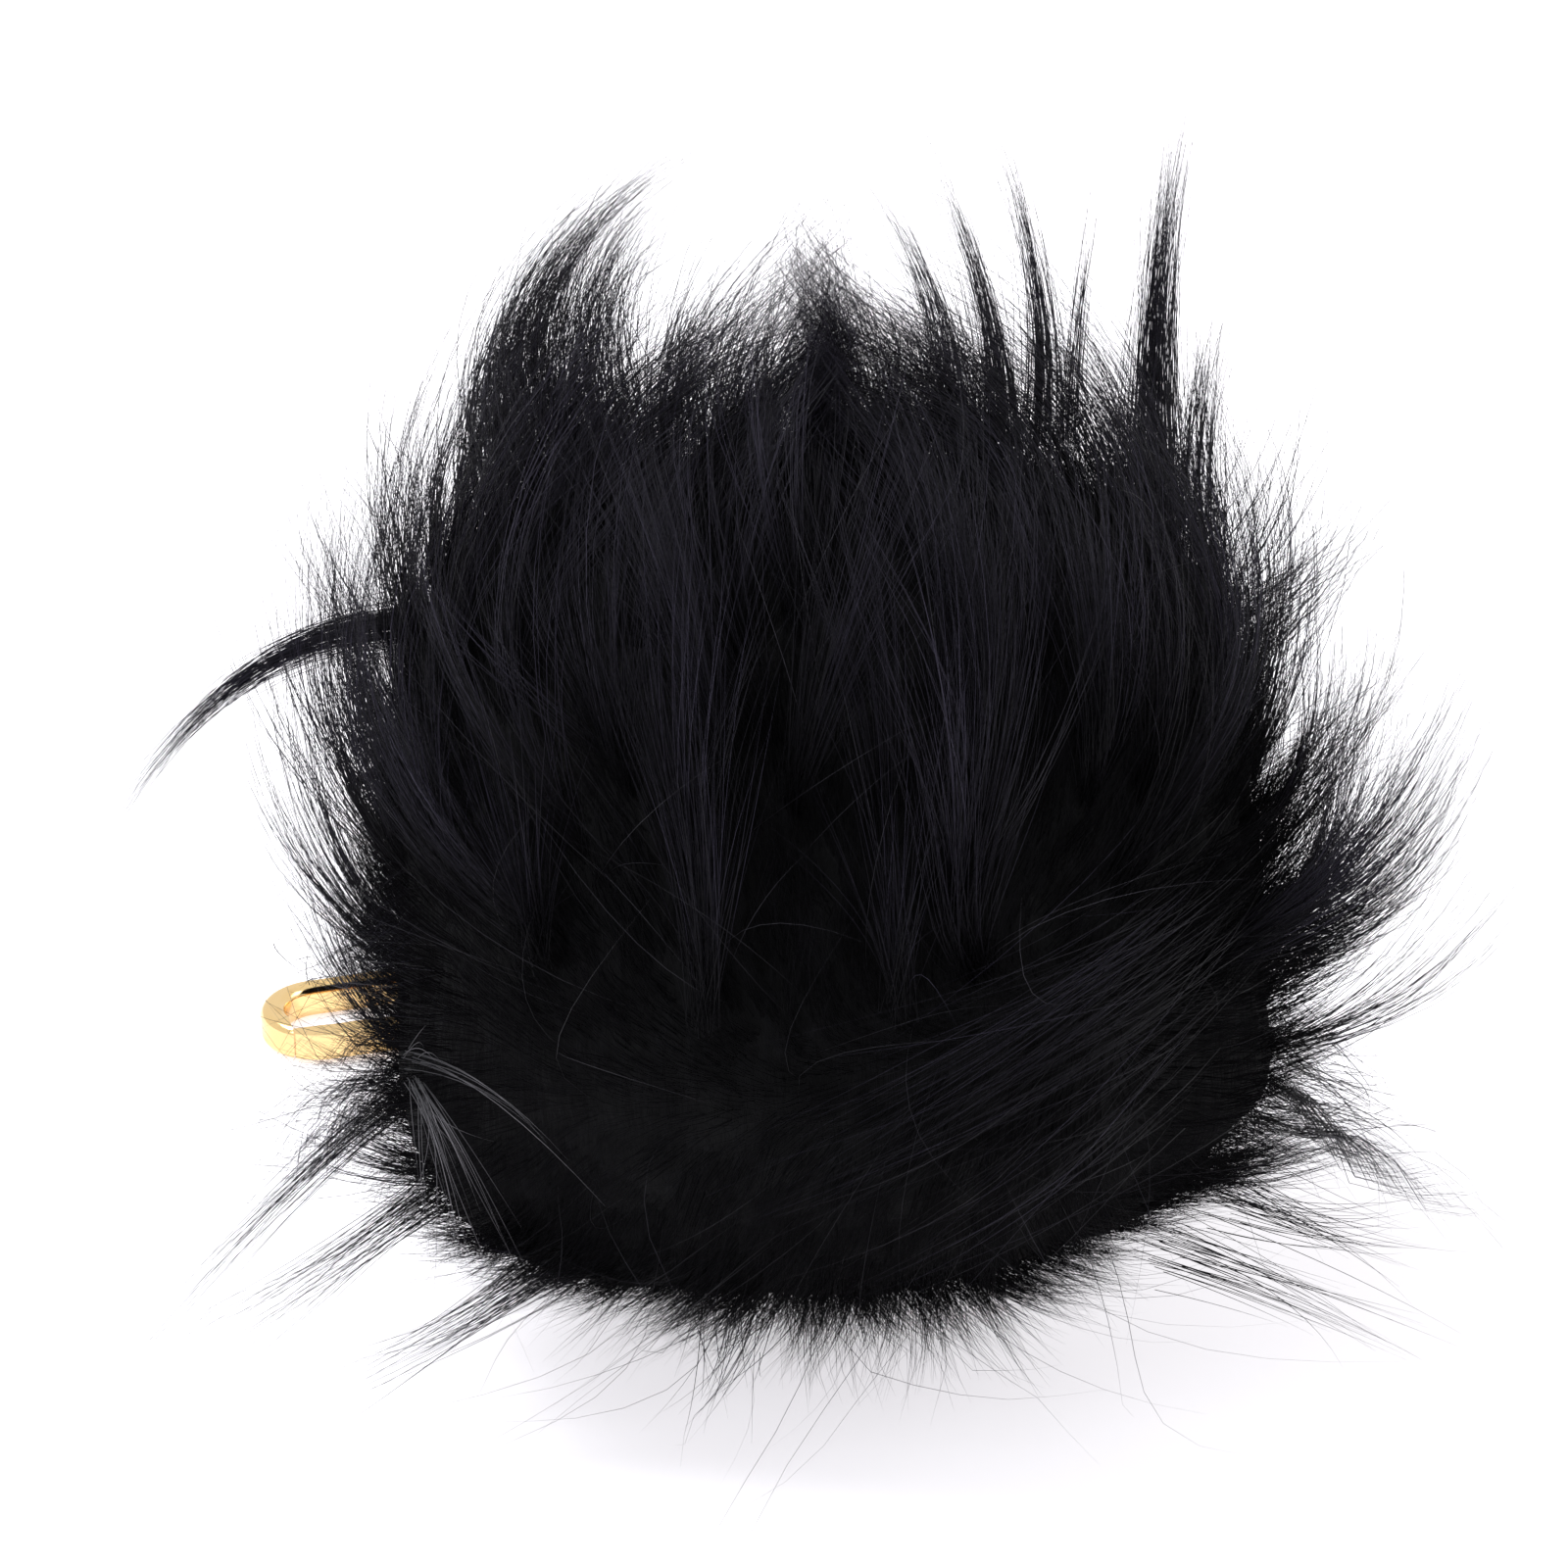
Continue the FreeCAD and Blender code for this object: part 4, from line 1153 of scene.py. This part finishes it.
@dataclass(frozen=True)
class Lining:
    """What the hair grows on: the hide, drawn up to a pleated neck, round a ball of crumpled fibre."""

    neck: Place = (0.0, 0.7866, -0.6175)
    hide_radius: float = 25.9
    hide_wall: float = 1.0
    neck_radius: float = 4.8
    neck_reach: float = 30.9
    rings: int = 8
    pleats: int = 18
    pleat_depth: float = 0.5
    pleat_segments: int = 8
    hide_rows: int = 72
    pleats_from: float = 0.55
    hide_uneven: float = 0.12
    uneven_scale: float = 0.3
    filling_radius: float = 24.4
    filling_levels: int = 6
    crumple: float = 1.3
    fold_scale: float = 4.0
    crimp_scale: float = 24.0
    crimp: float = 0.3

    def build(self) -> None:
        """Builds both pieces and fastens them to the ball."""
        hide, filling = self.hide(), self.filling()
        for piece, node, slot in ((hide, "pelt_hide", "hide"), (filling, "stuffing_core", "fibre")):
            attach(piece, "ball")
            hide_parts(node)
            LOG.info("%s: %d faces", piece.name, len(piece.data.polygons))

    def hide(self) -> bpy.types.Object:
        """The hide: an open ball with a neck, pleated more and more towards the neck."""
        mesh = bmesh.new()
        around, rows = self.pleat_segments * self.pleats, self.hide_rows
        bmesh.ops.create_uvsphere(mesh, u_segments=around, v_segments=rows, radius=self.hide_radius)
        top = [v for v in mesh.verts if v.co.z > 0.0 and math.hypot(v.co.x, v.co.y) < self.neck_radius]
        bmesh.ops.delete(mesh, geom=top, context="VERTS")
        edge = [e for e in mesh.edges if e.is_boundary]
        start = max(v.co.z for v in edge[0].verts)
        for ring in range(1, self.rings + 1):
            grown = bmesh.ops.extrude_edge_only(mesh, edges=edge)["geom"]
            height = start + (self.neck_reach - start) * ring / self.rings
            for vertex in (item for item in grown if isinstance(item, bmesh.types.BMVert)):
                flat = Vector((vertex.co.x, vertex.co.y, 0.0)).normalized() * self.neck_radius
                vertex.co = Vector((flat.x, flat.y, height))
            edge = [item for item in grown if isinstance(item, bmesh.types.BMEdge)]
        for vertex in mesh.verts:
            share = smooth_step(np.array(vertex.co.z / self.hide_radius), self.pleats_from, 1.0)
            angle = math.atan2(vertex.co.y, vertex.co.x)
            depth = self.pleat_depth * float(share) * (0.5 + 0.5 * math.cos(self.pleats * angle))
            flat = Vector((vertex.co.x, vertex.co.y, 0.0))
            vertex.co -= flat.normalized() * depth
            dents = 1.0 + noise.fractal(vertex.co * self.uneven_scale, 1.0, 2.0, 3)
            vertex.co -= vertex.co.normalized() * self.hide_uneven * dents
        bmesh.ops.recalc_face_normals(mesh, faces=mesh.faces)
        self.put_in_place(mesh)
        piece = piece_from(mesh, "hide_skin", SuedeFinish().make())
        wall = piece.modifiers.new("wall", "SOLIDIFY")
        wall.thickness = self.hide_wall * MM
        wall.offset = -1.0
        return piece

    def filling(self) -> bpy.types.Object:
        """The filling: a ball of fibre, crumpled and uneven all over."""
        mesh = bmesh.new()
        bmesh.ops.create_icosphere(mesh, subdivisions=self.filling_levels, radius=1.0)
        for vertex in mesh.verts:
            direction = vertex.co.normalized()
            folds = abs(noise.fractal(direction * self.fold_scale, 1.0, 2.0, 4))
            folds += self.crimp * abs(noise.noise(direction * self.crimp_scale))
            vertex.co = direction * (self.filling_radius - self.crumple * min(folds, 1.0))
        self.put_in_place(mesh)
        return piece_from(mesh, "fibre_filling", FibreFinish().make())

    def put_in_place(self, mesh: bmesh.types.BMesh) -> None:
        """Turns a mesh in millimetres from Z to the neck's direction, round the middle of the ball."""
        turn = Vector((0.0, 0.0, 1.0)).rotation_difference(Vector(self.neck)).to_matrix().to_4x4()
        place = Matrix.Translation(Vector(FACING.middle) * MM) @ turn @ Matrix.Scale(MM, 4)
        bmesh.ops.transform(mesh, matrix=place, verts=mesh.verts)


def piece_from(mesh: bmesh.types.BMesh, name: str, material: bpy.types.Material) -> bpy.types.Object:
    """Makes a smooth shaded object of a finished mesh and links it to the scene."""
    data = bpy.data.meshes.new(name)
    mesh.to_mesh(data)
    mesh.free()
    data.materials.append(material)
    data.shade_smooth()
    made = bpy.data.objects.new(name, data)
    bpy.context.scene.collection.objects.link(made)
    return made


# ------------------------------------------------------------------------------------------ the metal


@dataclass(frozen=True)
class Hardware:
    """The construction's own pieces, each with its finish."""

    gilt: tuple[str, ...] = (
        "d_ring", "jump_ring", "chain_link_1", "chain_link_2", "chain_link_3",
        "swivel_eye", "clasp_body", "gate", "gate_pin",
    )
    stitching: ThreadFinish = ThreadFinish("stitching_thread", (0.06, 0.057, 0.06), (0.15, 0.145, 0.15))
    binding: ThreadFinish = ThreadFinish("waxed_thread", (0.02, 0.02, 0.021), (0.06, 0.058, 0.06))

    def dress(self) -> None:
        """Gives every node of the construction its finish."""
        gold = GoldFinish().make()
        finishes = {
            **{name: gold for name in self.gilt},
            "gate_spring": SteelFinish().make(),
            "hang_tab": LeatherFinish().make(),
            "tab_stitching": self.stitching.make(),
            "gathering_thread": self.binding.make(),
        }
        for name, material in finishes.items():
            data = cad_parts[name].data
            data.materials.clear()
            data.materials.append(material)
            LOG.info("%s: %s", name, material.name)


# ------------------------------------------------------------------------------------------ the studio


@dataclass(frozen=True)
class Lamp:
    """A square soft light that points at the ball."""

    name: str
    place: Place
    width: float
    watts: float
    colour: Colour = (1.0, 1.0, 1.0)

    def hang(self) -> None:
        """Adds the lamp."""
        data = bpy.data.lights.new(self.name, "AREA")
        data.size = self.width
        data.energy = self.watts
        data.color = self.colour
        lamp = bpy.data.objects.new(self.name, data)
        lamp.location = self.place
        aim = Vector(FACING.middle) * MM - lamp.location
        lamp.rotation_euler = aim.to_track_quat("-Z", "Y").to_euler()
        bpy.context.scene.collection.objects.link(lamp)


@dataclass(frozen=True)
class Studio:
    """A white table top, soft lamps and the camera."""

    distance: float = 0.5
    lens: float = 112.5
    sensor: float = 36.0
    aim_off: Place = (-4.0, 9.0, 0.0)
    floor_radius: float = 6.0
    ambient: float = 0.34
    lamps: tuple[Lamp, ...] = (
        Lamp("top_lamp", (-0.4, 0.1, 0.75), 0.45, 6.0, (0.96, 0.97, 1.0)),
        Lamp("side_lamp", (0.6, 0.15, 0.45), 0.4, 1.5),
        Lamp("front_lamp", (-0.5, -0.45, 0.5), 0.35, 1.2, (0.92, 0.95, 1.0)),
    )

    def set_up(self) -> None:
        """Builds the floor, the world, the lamps and the camera."""
        mesh = bmesh.new()
        bmesh.ops.create_circle(mesh, cap_ends=True, segments=96, radius=self.floor_radius)
        floor = piece_from(mesh, "table_top", FloorFinish().make())
        for lamp in self.lamps:
            lamp.hang()
        self.set_world()
        self.set_camera()
        bpy.context.scene.view_settings.view_transform = "Standard"

    def set_world(self) -> None:
        """A plain world that shows white behind the charm and lights it softly."""
        shader = Shader("white_room", world=True)
        levels = {"Value": shader.seen(), "To Min": self.ambient, "To Max": 1.0}
        strength = shader.node("ShaderNodeMapRange", None, levels)
        sockets = {"Color": (1.0, 1.0, 1.0, 1.0), "Strength": strength}
        bpy.context.scene.world = shader.end(shader.node("ShaderNodeBackground", None, sockets))

    def set_camera(self) -> None:
        """The camera looks at the front of the ball, a little from above."""
        data = bpy.data.cameras.new("camera")
        data.lens = self.lens
        data.sensor_width = self.sensor
        camera = bpy.data.objects.new("camera", data)
        near = Vector(FACING.axes[2])
        aim = Vector(FACING.point(self.aim_off)) * MM
        camera.location = Vector(FACING.middle) * MM + near * self.distance
        camera.rotation_euler = (aim - camera.location).to_track_quat("-Z", "Y").to_euler()
        data.clip_start, data.clip_end = 0.01, 20.0
        bpy.context.scene.collection.objects.link(camera)
        bpy.context.scene.camera = camera


def main() -> None:
    """Builds the studio, then the charm's looks."""
    logging.basicConfig(level=logging.INFO, format="%(message)s")
    Studio().set_up()
    Hardware().dress()
    Lining().build()
    FurBall().build()


if __name__ == "__main__":
    main()
